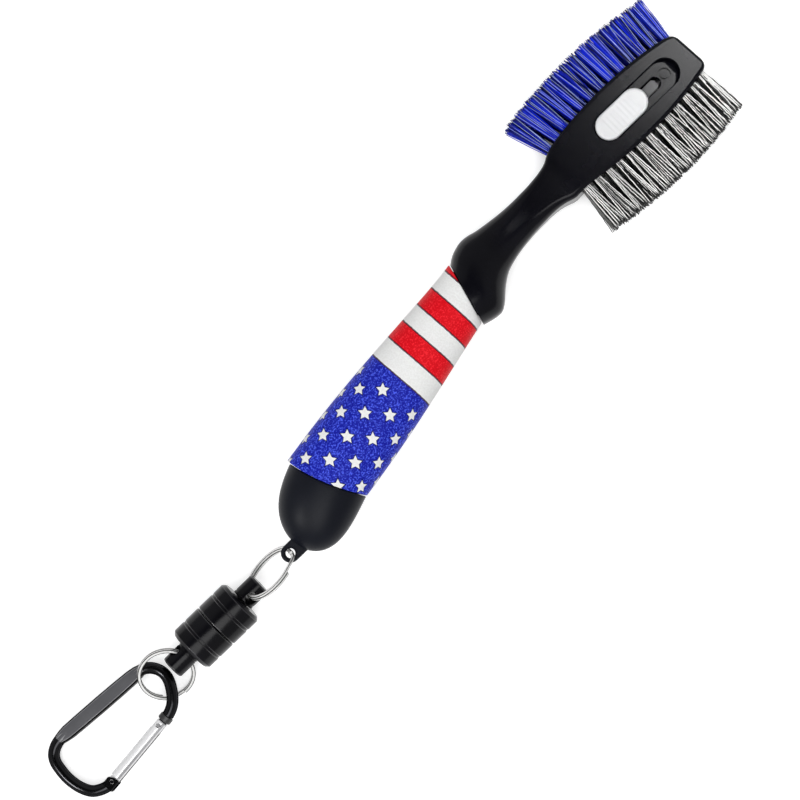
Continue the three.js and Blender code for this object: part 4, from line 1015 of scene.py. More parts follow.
pebble = noise(mat, 0.55, 2.5)
fleck = ramp(mat, pebble, 0.48, 0.66)
white = blend_colours(mat, ramp(mat, pebble, 0.3, 0.7), (0.86, 0.86, 0.85, 1), (0.95, 0.955, 0.95, 1))
red = blend_colours(mat, fleck, (0.76, 0.0, 0.008, 1), (0.98, 0.02, 0.035, 1))
blue = blend_colours(mat, fleck, (0.004, 0.009, 0.36, 1), (0.08, 0.13, 0.92, 1))
ground = blend_colours(mat, is_red, white, red)
field = blend_colours(mat, sums(mat, "MULTIPLY", star_rim, INK_SHARE), blue, (0.002, 0.003, 0.06, 1))
field = blend_colours(mat, is_star, field, white)
both = blend_colours(mat, is_blue, ground, field)
both = blend_colours(mat, sums(mat, "MULTIPLY", ink_line, INK_SHARE), both, (0.03, 0.001, 0.015, 1))
plug(mat, both, sleeve_shader.inputs["Base Color"])
raise_surface(mat, sleeve_shader, pebble, 0.14, 0.8)
finished(sleeve, sleeve_print, "brush", "printed_sleeve", "grip_sleeve")

# %% [markdown]
# ## The butt cap
# The butt closes the grip with a bulb that leans to the wire side and ends in a small lug for the
# ring. Half a sphere, stretched, would be too pointed. The bulb is one loft whose first ring follows
# the sleeve's curved end; the rings close up faster and faster towards the nose. Plug and lug are
# joined to it, and the lug's hole is flared.

# %% Butt cap
BUTT_START = 4.5
BUTT_LENGTH = 20.6
BUTT_LEAN = 4.7
LUG_REACH = 3.3
LUG_RADIUS = 3
LUG_HALF = 1.3
LUG_MOUTH = (3.1, 4.2)
BUTT_CORNER = 12
BUTT_RINGS = 22
BUTT_ROUND = 0.95
BUTT_WIDTH_POWER = 3.5
BUTT_HEIGHT_POWER = 2.8
NOSE_STOP = 0.9975


def butt_ring(reach, inset=0.0):
    """Ring of the bulb. Its width and its place depend on each other, so both are found by trying."""
    base_width, base_height, _, _ = grip_sizes(GRIP_LENGTH - BUTT_START)
    points = []
    for index in range(4 * (BUTT_CORNER + 1)):
        share = 0.3
        for _ in range(6):
            half_width = base_width * math.sqrt(1 - share**BUTT_WIDTH_POWER) - inset
            half_height = base_height * math.sqrt(1 - share**BUTT_HEIGHT_POWER) - inset
            v, w = section_point(index, half_width, half_height, half_width * BUTT_ROUND,
                                 half_height * BUTT_ROUND, BUTT_CORNER)
            v += BUTT_LEAN * share
            from_line = (butt_line(v) - GRIP_LENGTH) * (1 - reach) ** 2
            u = GRIP_LENGTH + reach * BUTT_LENGTH * NOSE_STOP + from_line
            share = min(max((u - GRIP_LENGTH + BUTT_START) / (BUTT_LENGTH + BUTT_START), 0), 0.998)
        points.append(grip_point(u, v, w))
    return points


rings = [butt_ring(0, 0.3), butt_ring(0.004, 0.09), butt_ring(0.014)]
rings += [butt_ring(math.sin(math.pi / 2 * i / BUTT_RINGS)) for i in range(1, BUTT_RINGS + 1)]
butt = loft("butt", rings)
lug_centre = Vector((GRIP_LENGTH + BUTT_LENGTH + LUG_REACH, BUTT_LEAN + 0.2, 0))
lug_rings = []
for z, grow in ((-LUG_HALF, -0.35), (-LUG_HALF + 0.12, -0.1), (-LUG_HALF + 0.4, 0),
                (LUG_HALF - 0.4, 0), (LUG_HALF - 0.12, -0.1), (LUG_HALF, -0.35)):
    lug_rings.append(long_round(-LUG_RADIUS, 4 * LUG_RADIUS, 2 * LUG_RADIUS, z, grow))
lug = loft("lug", lug_rings)
lug_place = grip_frame @ Matrix.Translation(lug_centre * MM)
place(lug, lug_place @ Matrix.Rotation(math.pi - GRIP_ANGLE, 4, "Z"))
combine(butt, lug, "UNION")
cap_plug = drill((GRIP_LENGTH - 14, 0, 0), (GRIP_LENGTH + 8, 0, 0), CORE_BORE / 2 - GAP, 32)
combine(butt, place(cap_plug, grip_frame), "UNION")
lug_hole = lug_place.translation / MM
combine(butt, flared_hole(lug_hole, (0, 0, 1), LUG_HALF, LUG_HALF / 3, *LUG_MOUTH))
butt_black = moulded("butt_black", (0.005, 0.006, 0.01), (0.007, 0.0082, 0.0135),
                     0.4, 0.3, 0.008, specular=0.12)
finished(butt, butt_black, "brush", "black_plastic", "butt_cap")

# %% [markdown]
# ## Tufts
# Each tuft is a bundle of loose strands that leaves its hole straight and fans out. Blender's hair
# could grow them, but hair isn't a mesh, and every piece here has to be one. A strand is modelled once
# in a few shapes, then copied by the dozen, and each copy has its own mesh. A UV map keeps a random
# tone for each strand and the distance along it, so that no two strands have quite the same colour.

# %% One strand
draw = random.Random(17)


def strand_shape(name, length, radius, sides, steps, bow, wave, pitch):
    """One strand along +Z with its foot at the origin; bow bends it and wave crimps it."""
    rings = []
    for step in range(steps + 1):
        t = step / steps
        x = bow * math.sin(math.pi * t) + wave * math.sin(2 * math.pi * length * t / pitch)
        y = 0.35 * wave * math.cos(2 * math.pi * length * t / pitch * 0.7)
        centre = Vector((x, y, length * t)) * MM
        width = radius * (0.8 if step == steps else 1)
        rings.append(circle(centre, Vector((1, 0, 0)), Vector((0, 1, 0)), width * MM, sides))
    piece = loft(name, rings)
    tone = piece.data.uv_layers.new(name="strand")
    for corner, loop in enumerate(piece.data.loops):
        tone.data[corner].uv = (0, piece.data.vertices[loop.vertex_index].co.z / (length * MM))
    return piece


def strand_copy(shape, length, foot, tip, tone, thickness):
    """A copy of a strand from foot to tip, with its own mesh, tone and thickness."""
    made = shape.copy()
    made.data = shape.data.copy()
    bpy.context.collection.objects.link(made)
    line = (tip - foot) * MM
    stretch = Matrix.Diagonal((thickness, thickness, line.length / (length * MM), 1))
    twist = Matrix.Rotation(draw.uniform(0, 2 * math.pi), 4, "Z")
    turn = line.to_track_quat("Z", "Y").to_matrix().to_4x4()
    made.matrix_world = Matrix.Translation(foot * MM) @ turn @ twist @ stretch
    values = [0.0] * (2 * len(made.data.loops))
    made.data.uv_layers["strand"].data.foreach_get("uv", values)
    values[0::2] = [tone] * len(made.data.loops)
    made.data.uv_layers["strand"].data.foreach_set("uv", values)
    return made


# %% [markdown]
# Every copy of a strand gets its own foot in the hole, its own tip in the fan, and its own twist and
# length. The feet and tips lie on a sunflower's spiral, which fills a round tuft evenly, and a little
# chance strays from it. The copies of the three tufts above each other are joined to one piece, which
# stands for the CAD column. The lower two tufts fan out more. Each level has its own factor on the
# strands' tone, which is painted shade: on the nylon the lower two tufts are painted darker, for the
# shade of the top one, and on the wire the top tuft's other strands are painted darker, for the shade
# between its bright lines. A few upper strands of the top tuft are painted pale side by side, as
# painted highlights.

# %% A column of tufts
SPIRAL_TURN = 2.39996
FOOT_DEPTH = 0.9
FOOT_HEIGHT = 1.2
LOWER_FAN = 1.4
LEVEL_SPREAD = 0.5
HEIGHT_STRAY = 0.14
DOME = 0.25
FRONT_LIMIT = HEAD_FRONT - 0.4


def tuft_column(name, column, side, lean, shapes, shape_length, count, length, foot_reach, fan, ragged,
                stray, painted_shading, glints, glint_thickness):
    """Three tufts above each other, on the nylon (+1) or the wire (-1) side."""
    x = column_x(column)
    surface = head_half_width(x)
    strands = []
    for level, height in enumerate(ROW_HEIGHTS):
        for number in range(count):
            radius = ((number + 0.5) / count) ** (0.5 if level == 2 else 0.35)
            angle = number * SPIRAL_TURN + column + 2 * level
            px, pz = radius * math.cos(angle), radius * math.sin(angle)
            # painted shade: each level's factor darkens the strand's tone
            tone, thickness = draw.uniform(0, 0.75) * painted_shading[level], 1
            # painted highlights: a few strands on top of the top tuft get a pale tone
            if level == 2 and number < glints:
                px, pz = (2 * number + 1) / glints - 1 + draw.gauss(0, 0.05), 0.8
                tone, thickness = draw.uniform(0.85, 1), glint_thickness
            wider = LOWER_FAN if level < 2 else 1.0
            foot = Vector((x + foot_reach * px, side * (surface - FOOT_DEPTH), height + FOOT_HEIGHT * pz))
            tip_x = x + lean + fan[0] * wider * px + draw.gauss(0, stray)
            tip_z = height + LEVEL_SPREAD * (level - 1) + fan[1] * pz + draw.gauss(0, HEIGHT_STRAY)
            reach = surface + length - DOME * radius**2 - abs(draw.gauss(0, ragged))
            tip = Vector((min(tip_x, FRONT_LIMIT), side * reach, tip_z))
            strands.append(strand_copy(draw.choice(shapes), shape_length, foot, tip, tone, thickness))
    piece = join_all(name, strands)
    bpy.ops.object.transform_apply(location=True, rotation=True, scale=True)
    return piece


# %% [markdown]
# Nylon filament is drawn, so it is smooth, glossy and only a little bent. Most strands are a deep
# blue that varies from one to the next, and the darkest of them are painted shade for the gaps
# between strands. A few are painted pale blue along their whole length as painted highlights, and
# each strand is painted darker towards its cut tip. The whole row leans: its rear tufts towards the
# handle, its front ones a little forwards.

# %% Nylon
NYLON_SHAPE_LENGTH = 16.5
nylon_shapes = [strand_shape(f"nylon_shape_{n}", NYLON_SHAPE_LENGTH, 0.15, 5, 6, bow, 0.0, 10)
                for n, bow in enumerate((0.1, 0.25, 0.4))]
# The per-level tone factors paint shade on the lower two tufts.
NYLON = {
    "shapes": nylon_shapes, "shape_length": NYLON_SHAPE_LENGTH, "count": 42, "length": 15,
    "foot_reach": 1.25, "fan": (2.2, 2.6), "ragged": 0.6, "stray": 0.4,
    "painted_shading": (0.6, 0.8, 1.0), "glints": 5, "glint_thickness": 0.48,
}
REAR_LEAN, FRONT_LEAN = -3.0, 1.0

blue_nylon, nylon_shader = new_material("blue_nylon", 0.25, specular=0.22)
mat = blue_nylon
tone, along = map_axes(mat, "strand")
# painted shade: the darkest tones stand for the shade between strands
deep = blend_colours(mat, ramp(mat, tone, 0.2, 0.52), (0.001, 0.002, 0.05, 1), (0.008, 0.03, 0.85, 1))
# painted highlights: the palest tones turn pale blue
deep = blend_colours(mat, ramp(mat, tone, 0.8, 0.9), deep, (0.42, 0.54, 1, 1))
# painted darker towards each strand's tip
tip_share = ramp(mat, along, 0.93, 0.99)
tipped = blend_colours(mat, sums(mat, "MULTIPLY", tip_share, 0.8), deep, (0.001, 0.002, 0.05, 1))
plug(mat, tipped, nylon_shader.inputs["Base Color"])
drawn = noise(mat, 0.3, 2, coordinates(mat, (1, 0.08, 1)))
raise_surface(mat, nylon_shader, drawn, 0.02)
for column in range(TUFT_COLUMNS):
    share = column / (TUFT_COLUMNS - 1)
    lean = REAR_LEAN + (FRONT_LEAN - REAR_LEAN) * share
    tuft = tuft_column(f"nylon_{column + 1:02d}", column, 1, lean, **NYLON)
    finished(tuft, blue_nylon, "brush", "blue_nylon", f"nylon_tuft_{column + 1:02d}", angle=60)
for shape in nylon_shapes:
    bpy.data.objects.remove(shape)

# %% [markdown]
# Steel wire is crimped before it is cut, so each strand runs in small waves. A fully metallic shader
# would mirror the bright sky from every strand and turn the tuft to a pale haze. The real tuft shows
# bright lines on black gaps, and these are painted into the strands' tones: near black as painted
# shade for the gaps, dark steel, or near white as painted highlights. Each strand is also painted
# darker towards its tip.

# %% Wire
WIRE_SHAPE_LENGTH = 17.8
wire_shapes = [strand_shape(f"wire_shape_{n}", WIRE_SHAPE_LENGTH, 0.15, 4, 12, bow, wave, pitch)
               for n, (bow, wave, pitch) in enumerate(
                   ((0.1, 0.07, 3.6), (0.3, 0.08, 3.9), (-0.15, 0.06, 3.3), (0.2, 0.09, 4.3)))]
# The per-level tone factors paint shade: the top tuft's other strands are darkest, for the gaps between its
# bright lines.
WIRE = {
    "shapes": wire_shapes, "shape_length": WIRE_SHAPE_LENGTH, "count": 40, "length": 16.3,
    "foot_reach": 1.1, "fan": (2.35, 2.6), "ragged": 0.6, "stray": 0.2,
    "painted_shading": (0.8, 0.8, 0.35), "glints": 6, "glint_thickness": 1.25,
}

silver_wire, wire_shader = new_material("silver_wire", 0.3, metallic=0.1, specular=0.3)
mat = silver_wire
tone, along = map_axes(mat, "strand")
# painted shade: the darkest tones are near black, for the gaps between strands
steel_and_painted_shade = blend_colours(mat, ramp(mat, tone, 0.2, 0.4), (0.006, 0.006, 0.006, 1),
                           (0.17, 0.17, 0.165, 1))
# painted highlights: the palest tones turn near white
bright = blend_colours(mat, ramp(mat, tone, 0.7, 0.84), steel_and_painted_shade, (0.97, 0.965, 0.95, 1))
# painted darker towards each strand's tip
tip_share = sums(mat, "MULTIPLY", ramp(mat, along, 0.93, 1.0), 0.7)
plug(mat, blend_colours(mat, tip_share, bright, (0.03, 0.03, 0.03, 1)),
     wire_shader.inputs["Base Color"])
scratches = noise(mat, 0.12, 3)
raise_surface(mat, wire_shader, scratches, 0.02)
for column in range(TUFT_COLUMNS):
    tuft = tuft_column(f"wire_{column + 1:02d}", column, -1, 0.0, **WIRE)
    finished(tuft, silver_wire, "brush", "silver_wire", f"wire_tuft_{column + 1:02d}", angle=60)
for shape in wire_shapes:
    bpy.data.objects.remove(shape)

# %% [markdown]
# ## Split rings
# A key ring is a flat strip wound almost twice round, which changes level once. Two plain rings side
# by side would miss that step, by which everyone knows it. The strip's section is a small plane with
# its corners rounded. Spin carries it most of the way round, then short spins that each lift it a
# little make the step up to the second turn, and a last long spin ends the ring. A UV map keeps, for
# each face, how flat it lies and how far it is from the strip's middle.

# %% Split ring
RING_STRIP = 1.2
RING_COIL = 0.75
RING_PITCH = 0.9
RING_CORNER = 0.17
LONG_SPIN = math.radians(315)
LONG_STEPS = 70
STEP_SPIN = math.radians(40)
STEP_COUNT = 12


def eased(share):
    """From 0 to 1 with a level start and end."""
    return share * share * (3 - 2 * share)


def split_ring(name, outer_diameter, crossing, ring_place):
    """A ring of the given diameter in millimetres, that changes level at the angle of its crossing."""
    bpy.ops.object.select_all(action="DESELECT")
    bpy.ops.mesh.primitive_plane_add(size=1)
    piece = bpy.context.object
    piece.name = name
    radius = (outer_diameter - RING_STRIP) / 2
    stand = Matrix.Translation(Vector((radius, 0, -RING_PITCH / 2)) * MM)
    flat = Matrix.Rotation(math.pi / 2, 4, "X")
    size = Matrix.Diagonal((RING_STRIP * MM, RING_COIL * MM, 1, 1))
    place(piece, stand @ flat @ size)
    in_edit_mode(piece)
    bpy.ops.mesh.select_all(action="SELECT")
    bpy.ops.mesh.bevel(offset=RING_CORNER * MM, segments=3, affect="VERTICES")
    bpy.ops.mesh.select_all(action="SELECT")
    centre, axis = (0, 0, 0), (0, 0, 1)
    bpy.ops.mesh.spin(steps=LONG_STEPS, angle=LONG_SPIN, center=centre, axis=axis)
    for step in range(STEP_COUNT):
        rise = (eased((step + 1) / STEP_COUNT) - eased(step / STEP_COUNT)) * RING_PITCH * MM
        bpy.ops.mesh.spin(steps=1, angle=STEP_SPIN / STEP_COUNT, center=centre, axis=axis)
        bpy.ops.transform.translate(value=(0, 0, rise))
    bpy.ops.mesh.spin(steps=LONG_STEPS, angle=LONG_SPIN, center=centre, axis=axis)
    bpy.ops.mesh.select_all(action="SELECT")
    bpy.ops.mesh.remove_doubles(threshold=1e-7)
    bpy.ops.mesh.normals_make_consistent(inside=False)
    bpy.ops.object.mode_set(mode="OBJECT")
    faces_map = piece.data.uv_layers.new(name="faces")
    for face in piece.data.polygons:
        for corner in face.loop_indices:
            point = piece.data.vertices[piece.data.loops[corner].vertex_index].co
            off_middle = (point.xy.length - radius * MM) / (RING_STRIP * MM)
            faces_map.data[corner].uv = (abs(face.normal.z), off_middle + 0.5)
    start = math.radians(crossing + 360) - LONG_SPIN - STEP_SPIN / 2
    return place(piece, ring_place @ Matrix.Rotation(start, 4, "Z"))


# %% [markdown]
# The upper ring runs through the butt's lug and the clasp's upper eye, and the lower one through the
# lower eye and the carabiner. In the photograph both lie askew, so each gets a frame of its own: its
# middle, the direction between what it joins, and a direction across that is tilted to match.

# %% Places of the rings
def middle_of_node(name):
    low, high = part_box(name)
    return (low + high) / 2


def frame_of(centre, first, second):
    """A matrix with the given centre and first two axes."""
    third = first.cross(second)
    turn = Matrix((first, second, third)).transposed().to_4x4()
    return Matrix.Translation(centre) @ turn


clasp_low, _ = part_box("clasp_lower_shell")
_, clasp_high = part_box("clasp_upper_shell")
clasp_centre = (clasp_low + clasp_high) / 2
CLASP_HALF = 11.3
UPPER_HOLE = CLASP_HALF + 3.4
LOWER_HOLE = CLASP_HALF + 2.6
UPPER_TILT = math.radians(60)
lug_point = lug_hole * MM
upper_eye_point = clasp_centre + Vector((UPPER_HOLE * MM, 0, 0))
upper_along = (lug_point - upper_eye_point).normalized()
upper_across = Matrix.Rotation(-UPPER_TILT, 3, upper_along) @ Vector((0, 1, 0))
upper_place = frame_of((lug_point + upper_eye_point) / 2, upper_along, upper_across)

LOWER_RISE = 0.24
LOWER_ROLL = 0.56
lower_axis = Vector((-LOWER_RISE, -LOWER_ROLL, 1)).normalized()
lower_along = Vector((1, 0, LOWER_RISE)).normalized()
lower_across = lower_axis.cross(lower_along)
lower_eye_point = clasp_centre - Vector((LOWER_HOLE * MM, 0, 0))
LOWER_MEAN = 8.6
RING_SEAT = 0.25
lower_centre = lower_eye_point + lower_along * (RING_SEAT - LOWER_MEAN) * MM
lower_place = frame_of(lower_centre, lower_along, lower_across)
print("lug to upper eye:", round((lug_point - upper_eye_point).length / MM, 1), "mm")

# %% [markdown]
# Nickel plating mirrors white paper and black gaps. The strip's faces are bright with fine streaks,
# and its rounded corners and the edges of its flat faces are painted near black, a painted dark
# reflection that draws the thin dark lines along the real ring.

# %% Nickel and the two rings
UPPER_DIAMETER, UPPER_CROSSING = 20, -80
LOWER_DIAMETER, LOWER_CROSSING = 18.4, 190
nickel, nickel_shader = new_material("nickel", 0.12, metallic=0.3)
streak = noise(nickel, 0.5, 3)
plate_colour = blend_colours(nickel, ramp(nickel, noise(nickel, 2.5, 2), 0.3, 0.7),
                             (0.88, 0.875, 0.86, 1), (0.97, 0.97, 0.96, 1))
lying, across_strip = map_axes(nickel, "faces")
off_middle = sums(nickel, "ABSOLUTE", sums(nickel, "SUBTRACT", across_strip, 0.5))
# painted reflection: the corners and the edges of the flat faces get near black
outside_painted_dark_lines = sums(nickel, "MULTIPLY", ramp(nickel, lying, 0.85, 0.98), ramp(nickel, off_middle, 0.32, 0.22))
outside_painted_dark_lines = sums(nickel, "MAXIMUM", outside_painted_dark_lines, ramp(nickel, lying, 0.3, 0.15))
plate_colour = blend_colours(nickel, outside_painted_dark_lines, (0.006, 0.006, 0.006, 1), plate_colour)
plug(nickel, plate_colour, nickel_shader.inputs["Base Color"])
plug(nickel, sums(nickel, "MULTIPLY_ADD", streak, 0.2, 0.2), nickel_shader.inputs["Roughness"])
raise_surface(nickel, nickel_shader, streak, 0.015)
upper_ring = split_ring("ring_upper", UPPER_DIAMETER, UPPER_CROSSING, upper_place)
finished(upper_ring, nickel, "upper_ring", "nickel", "upper_split_ring")
lower_ring = split_ring("ring_lower", LOWER_DIAMETER, LOWER_CROSSING, lower_place)
finished(lower_ring, nickel, "lower_ring", "nickel", "lower_split_ring")

# %% [markdown]
# ## The magnetic clasp
# Two turned cups hold the magnets face to face, and a post swivels in the end of each. All four are
# turned parts, so they are lofts of circles along X: each station is a distance and a radius. That
# gives each small step on the lathe its own place, where a bevel would round all of them alike. The
# cups are hollow, so their profile runs round the wall and is bridged to its own start.

# %% Clasp cups and posts
CLASP_RADIUS = 8
CLASP_CHAMFER = 0.9
GROOVE_FROM, GROOVE_TO, GROOVE_DEPTH = 5.6, 6.6, 0.22
SHELL_WALL = 2.3
SHELL_END = 2.5
SPIGOT = 2
POST_RADIUS = 3.9
POST_LENGTH = 7.9
EYE_HOLE = (3.2, 4.4)


def clasp_shell(name):
    """A hollow cup from the seam at 0 to its end, with one turned groove."""
    r, end, start = CLASP_RADIUS, CLASP_HALF, GAP / 2
    bore = SPIGOT + GAP
    profile = [(start, r - SHELL_WALL), (start, r - 0.45), (start + 0.12, r - 0.15), (start + 0.4, r),
               (GROOVE_FROM - 0.1, r), (GROOVE_FROM + 0.05, r - 0.12),
               (GROOVE_FROM + 0.15, r - GROOVE_DEPTH), (GROOVE_TO - 0.15, r - GROOVE_DEPTH),
               (GROOVE_TO - 0.05, r - 0.12), (GROOVE_TO + 0.1, r),
               (end - CLASP_CHAMFER - 0.25, r), (end - CLASP_CHAMFER, r - 0.12),
               (end - 0.12, r - CLASP_CHAMFER), (end, r - CLASP_CHAMFER - 0.25),
               (end, bore + 0.2), (end - 0.2, bore), (end - SHELL_END, bore),
               (end - SHELL_END, r - SHELL_WALL)]
    return turned(name, profile, 72, hollow=True)


def clasp_eye(name, hole_x, hole_axis):
    """A post that is held inside the cup, with a cross hole for the ring."""
    r = POST_RADIUS
    base, end, inside = CLASP_HALF + GAP, CLASP_HALF + POST_LENGTH, CLASP_HALF - SHELL_END - GAP
    profile = [(inside, 1.1), (inside, SPIGOT - 0.1), (inside + 0.1, SPIGOT), (base, SPIGOT),
               (base, r - 0.2), (base + 0.06, r - 0.06), (base + 0.2, r), (base + 0.75, r),
               (base + 0.85, r - 0.18), (base + 1.05, r - 0.18), (base + 1.15, r),
               (end - 0.6, r), (end - 0.25, r - 0.12), (end - 0.07, r - 0.32), (end, r - 0.6),
               (end, 0.8), (end - 0.6, 0.02)]
    piece = turned(name, profile, 48)
    combine(piece, drill((inside - 1, 0, 0), (base, 0, 0), 1.1))
    combine(piece, flared_hole((hole_x, 0, 0), hole_axis, r, r - 1.6, *EYE_HOLE))
    return piece


print("clasp cup", CLASP_HALF, "mm long,", 2 * CLASP_RADIUS, "mm across")

# %% [markdown]
# Black anodising is glossy and a little uneven. The thin bright lines along its turned edges are
# painted highlights: the narrow slanted faces at each edge get a second, greyer material. A curvature
# mask could find those edges, but it differs from renderer to renderer. The lower half is the upper
# one turned end for end.

# %% Clasp assembly
CUP_GLINT_BAND = 0.35
POST_GLINT_BAND = 0.45
# painted highlight: a lighter grey for the turned edges
edge_glint_paint = moulded("edge_glint_paint", (0.006, 0.006, 0.007), (0.03, 0.03, 0.034), 0.25, 0.6, 0.01)


def paint_edge_glints(piece, least_radius):
    """Gives the narrow slanted faces round a turned piece the lighter grey, a painted highlight."""
    numbers = []
    for face in piece.data.polygons:
        slanted = 0.15 < abs(face.normal.x) < 0.97
        outside = (face.center - clasp_centre).yz.length > least_radius * MM
        numbers.append(1 if slanted and outside else 0)
    add_finishes(piece, numbers, edge_glint_paint)


upper_half = Matrix.Translation(clasp_centre)
lower_half = upper_half @ Matrix.Rotation(math.pi, 4, "Z")
to_lower = lower_half.to_3x3().inverted()
HALVES = [("upper", upper_half, UPPER_HOLE, upper_across),
          ("lower", lower_half, LOWER_HOLE, to_lower @ lower_across)]
black_anodised = moulded("black_anodised", (0.002, 0.002, 0.003), (0.004, 0.004, 0.006),
                         0.2, 0.4, 0.004, specular=0.17)
for half, half_place, hole_x, hole_axis in HALVES:
    shell = place(clasp_shell(f"clasp_cup_{half}"), half_place)
    finished(shell, black_anodised, f"clasp_{half}", "black_anodised", f"clasp_{half}_shell")
    paint_edge_glints(shell, CLASP_RADIUS - CUP_GLINT_BAND)
for half, half_place, hole_x, hole_axis in HALVES:
    post = place(clasp_eye(f"post_{half}", hole_x, hole_axis), half_place)
    finished(post, black_anodised, f"{half}_end", "black_anodised", f"{half}_eye")
    paint_edge_glints(post, POST_RADIUS - POST_GLINT_BAND)

# %% [markdown]
# ## The carabiner
# A round rod is bent into a pear-shaped loop with a flattened straight side. The carabiner is modelled
# lying flat, with the end of the ring's bend near its origin, and is turned to its place at the end.
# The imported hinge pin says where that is.

# %% Sizes and place of the carabiner
ROD = 1.9
GATE_LENGTH = 24.8
GATE_SLANT = math.radians(5.9)
HINGE_BACK, HINGE_FRONT = 2.4, 1.4
NOSE_BAND = 2.1
NOSE = Vector((-8.3, -10.1, 0))
NOSE_REACH = GATE_LENGTH + GAP + NOSE_BAND
PIN = NOSE - NOSE_REACH * Vector((math.cos(GATE_SLANT), math.sin(GATE_SLANT), 0))
HINGE_BEND = [(-4.1, 0.7), (-6.9, 2.5), (-8.8, 5.9), (-9.8, 10.5), (-9.7, 14.6), (-9.2, 17.4),
              (-8, 19.4), (-5.9, 20.8), (-2.9, 21.5)]
RING_BEND = [(-5.1, 6.4), (-2.6, 5.2), (-0.9, 3.2), (0, 0.5), (-0.4, -2.3), (-2.3, -5.8),
             (-4.4, -8.2), (-6.5, -9.5)]
ROLL, TILT = math.radians(-5), math.radians(-3.2)
carabiner_turn = Matrix.Rotation(ROLL, 4, "X") @ Matrix.Rotation(TILT, 4, "Y")
gate_local = Matrix.Translation(PIN * MM) @ Matrix.Rotation(GATE_SLANT, 4, "Z")
pin_point = middle_of_node("gate_hinge_pin")
carabiner_shift = pin_point - carabiner_turn @ gate_local.translation
carabiner_place = Matrix.Translation(carabiner_shift) @ carabiner_turn
gate_place = carabiner_place @ gate_local
print("gate", GATE_LENGTH, "mm long")

# %% [markdown]
# The bend is a loft of circles square to a smooth curve through given points. An ordinary smooth
# curve swings out where close points follow far ones. A centripetal one, whose spans count by the
# square root of their length, doesn't.

# %% Bent rod
def centripetal(points, per_span):
    """Smooth curve through points that never loops between close ones."""
    ends = [2 * points[0] - points[1]] + points + [2 * points[-1] - points[-2]]
    line = []
    for a, b, c, d in zip(ends, ends[1:], ends[2:], ends[3:]):
        t1 = (b - a).length ** 0.5
        t2 = t1 + (c - b).length ** 0.5
        t3 = t2 + (d - c).length ** 0.5
        for step in range(per_span):
            t = t1 + (t2 - t1) * step / per_span
            p = a * (t1 - t) / t1 + b * t / t1
            q = b * (t2 - t) / (t2 - t1) + c * (t - t1) / (t2 - t1)
            r = c * (t3 - t) / (t3 - t2) + d * (t - t2) / (t3 - t2)
            m = p * (t2 - t) / t2 + q * t / t2
            n = q * (t3 - t) / (t3 - t1) + r * (t - t1) / (t3 - t1)
            line.append(m * (t2 - t) / (t2 - t1) + n * (t - t1) / (t2 - t1))
    return line + [points[-1]]


def on_gate(x):
    """The point at a distance from the pin along the gate, in millimetres."""
    return gate_local @ (Vector((x, 0, 0)) * MM) / MM


hinge_bend = [PIN + Vector((x, y, 0)) for x, y in HINGE_BEND]
ring_bend = [Vector((x, y, 0)) for x, y in RING_BEND]
bar_start, bar_end = hinge_bend[-1], ring_bend[0]
middle_line = [on_gate(-HINGE_BACK / 2), *hinge_bend, bar_start.lerp(bar_end, 1 / 3),
               bar_start.lerp(bar_end, 2 / 3), *ring_bend, on_gate(NOSE_REACH)]
line = centripetal(middle_line, 6)
rings = []
for before, here, after in zip([line[0]] + line, line, line[1:] + [line[-1]]):
    heading = (after - before).normalized()
    sideways = Vector((-heading.y, heading.x, 0))
    rings.append(circle(here * MM, sideways, Vector((0, 0, 1)), ROD * MM, 24))
carabiner = loft("carabiner", rings)
print("rod:", len(rings), "rings")

# %% [markdown]
# The straight side is pressed flat and a little wider in its middle. It is a loft along the bar, whose
# rings are boxes with bevelled edges, and it narrows at both ends until the round rod takes it in.

# %% Flat bar
bar_length = (bar_end - bar_start).length
# Distance along the bar, half width and half height.
BAR = [(-0.9, 1.45, 1.2), (-0.7, 1.7, 1.5), (1.2, 2.1, 1.75), (3.2, 2.35, 1.9), (9, 2.45, 1.9),
       (bar_length / 2, 2.5, 1.9), (bar_length - 9, 2.45, 1.9), (bar_length - 3.2, 2.3, 1.9),
       (bar_length - 0.6, 2.0, 1.8), (bar_length + 1.4, 1.5, 1.4), (bar_length + 1.7, 1.2, 1.1)]
# The bevel's points, as distances in from the side and down from the top.
BAR_EDGE = [(0, 0.55), (0.5, 0.08), (0.68, 0)]
bar_turn = Matrix.Rotation(math.atan2(*(bar_end - bar_start).yx), 4, "Z")
rings = []
for x, half_width, half_height in BAR:
    corners = []
    for sx, sy in ((1, 1), (-1, 1), (-1, -1), (1, -1)):
        edge = [Vector((x, sx * (half_width - inward), sy * (half_height - down)))
                for inward, down in BAR_EDGE]
        corners += edge if sx * sy > 0 else edge[::-1]
    rings.append([point * MM for point in corners])
bar = place(loft("bar", rings), Matrix.Translation(bar_start * MM) @ bar_turn)
combine(carabiner, bar, "UNION")
print("bar", round(bar_length, 1), "mm long")

# %% [markdown]
# A block holds the gate's hinge, and a band and a flat tongue end the rod at the nose. The block's
# front is cut back by as much as the gate swings, so that the open gate clears it. The tongue is
# notched for the catch pin in the gate's end. All are joined to the rod, and the fork for the hinge is
# cut out.

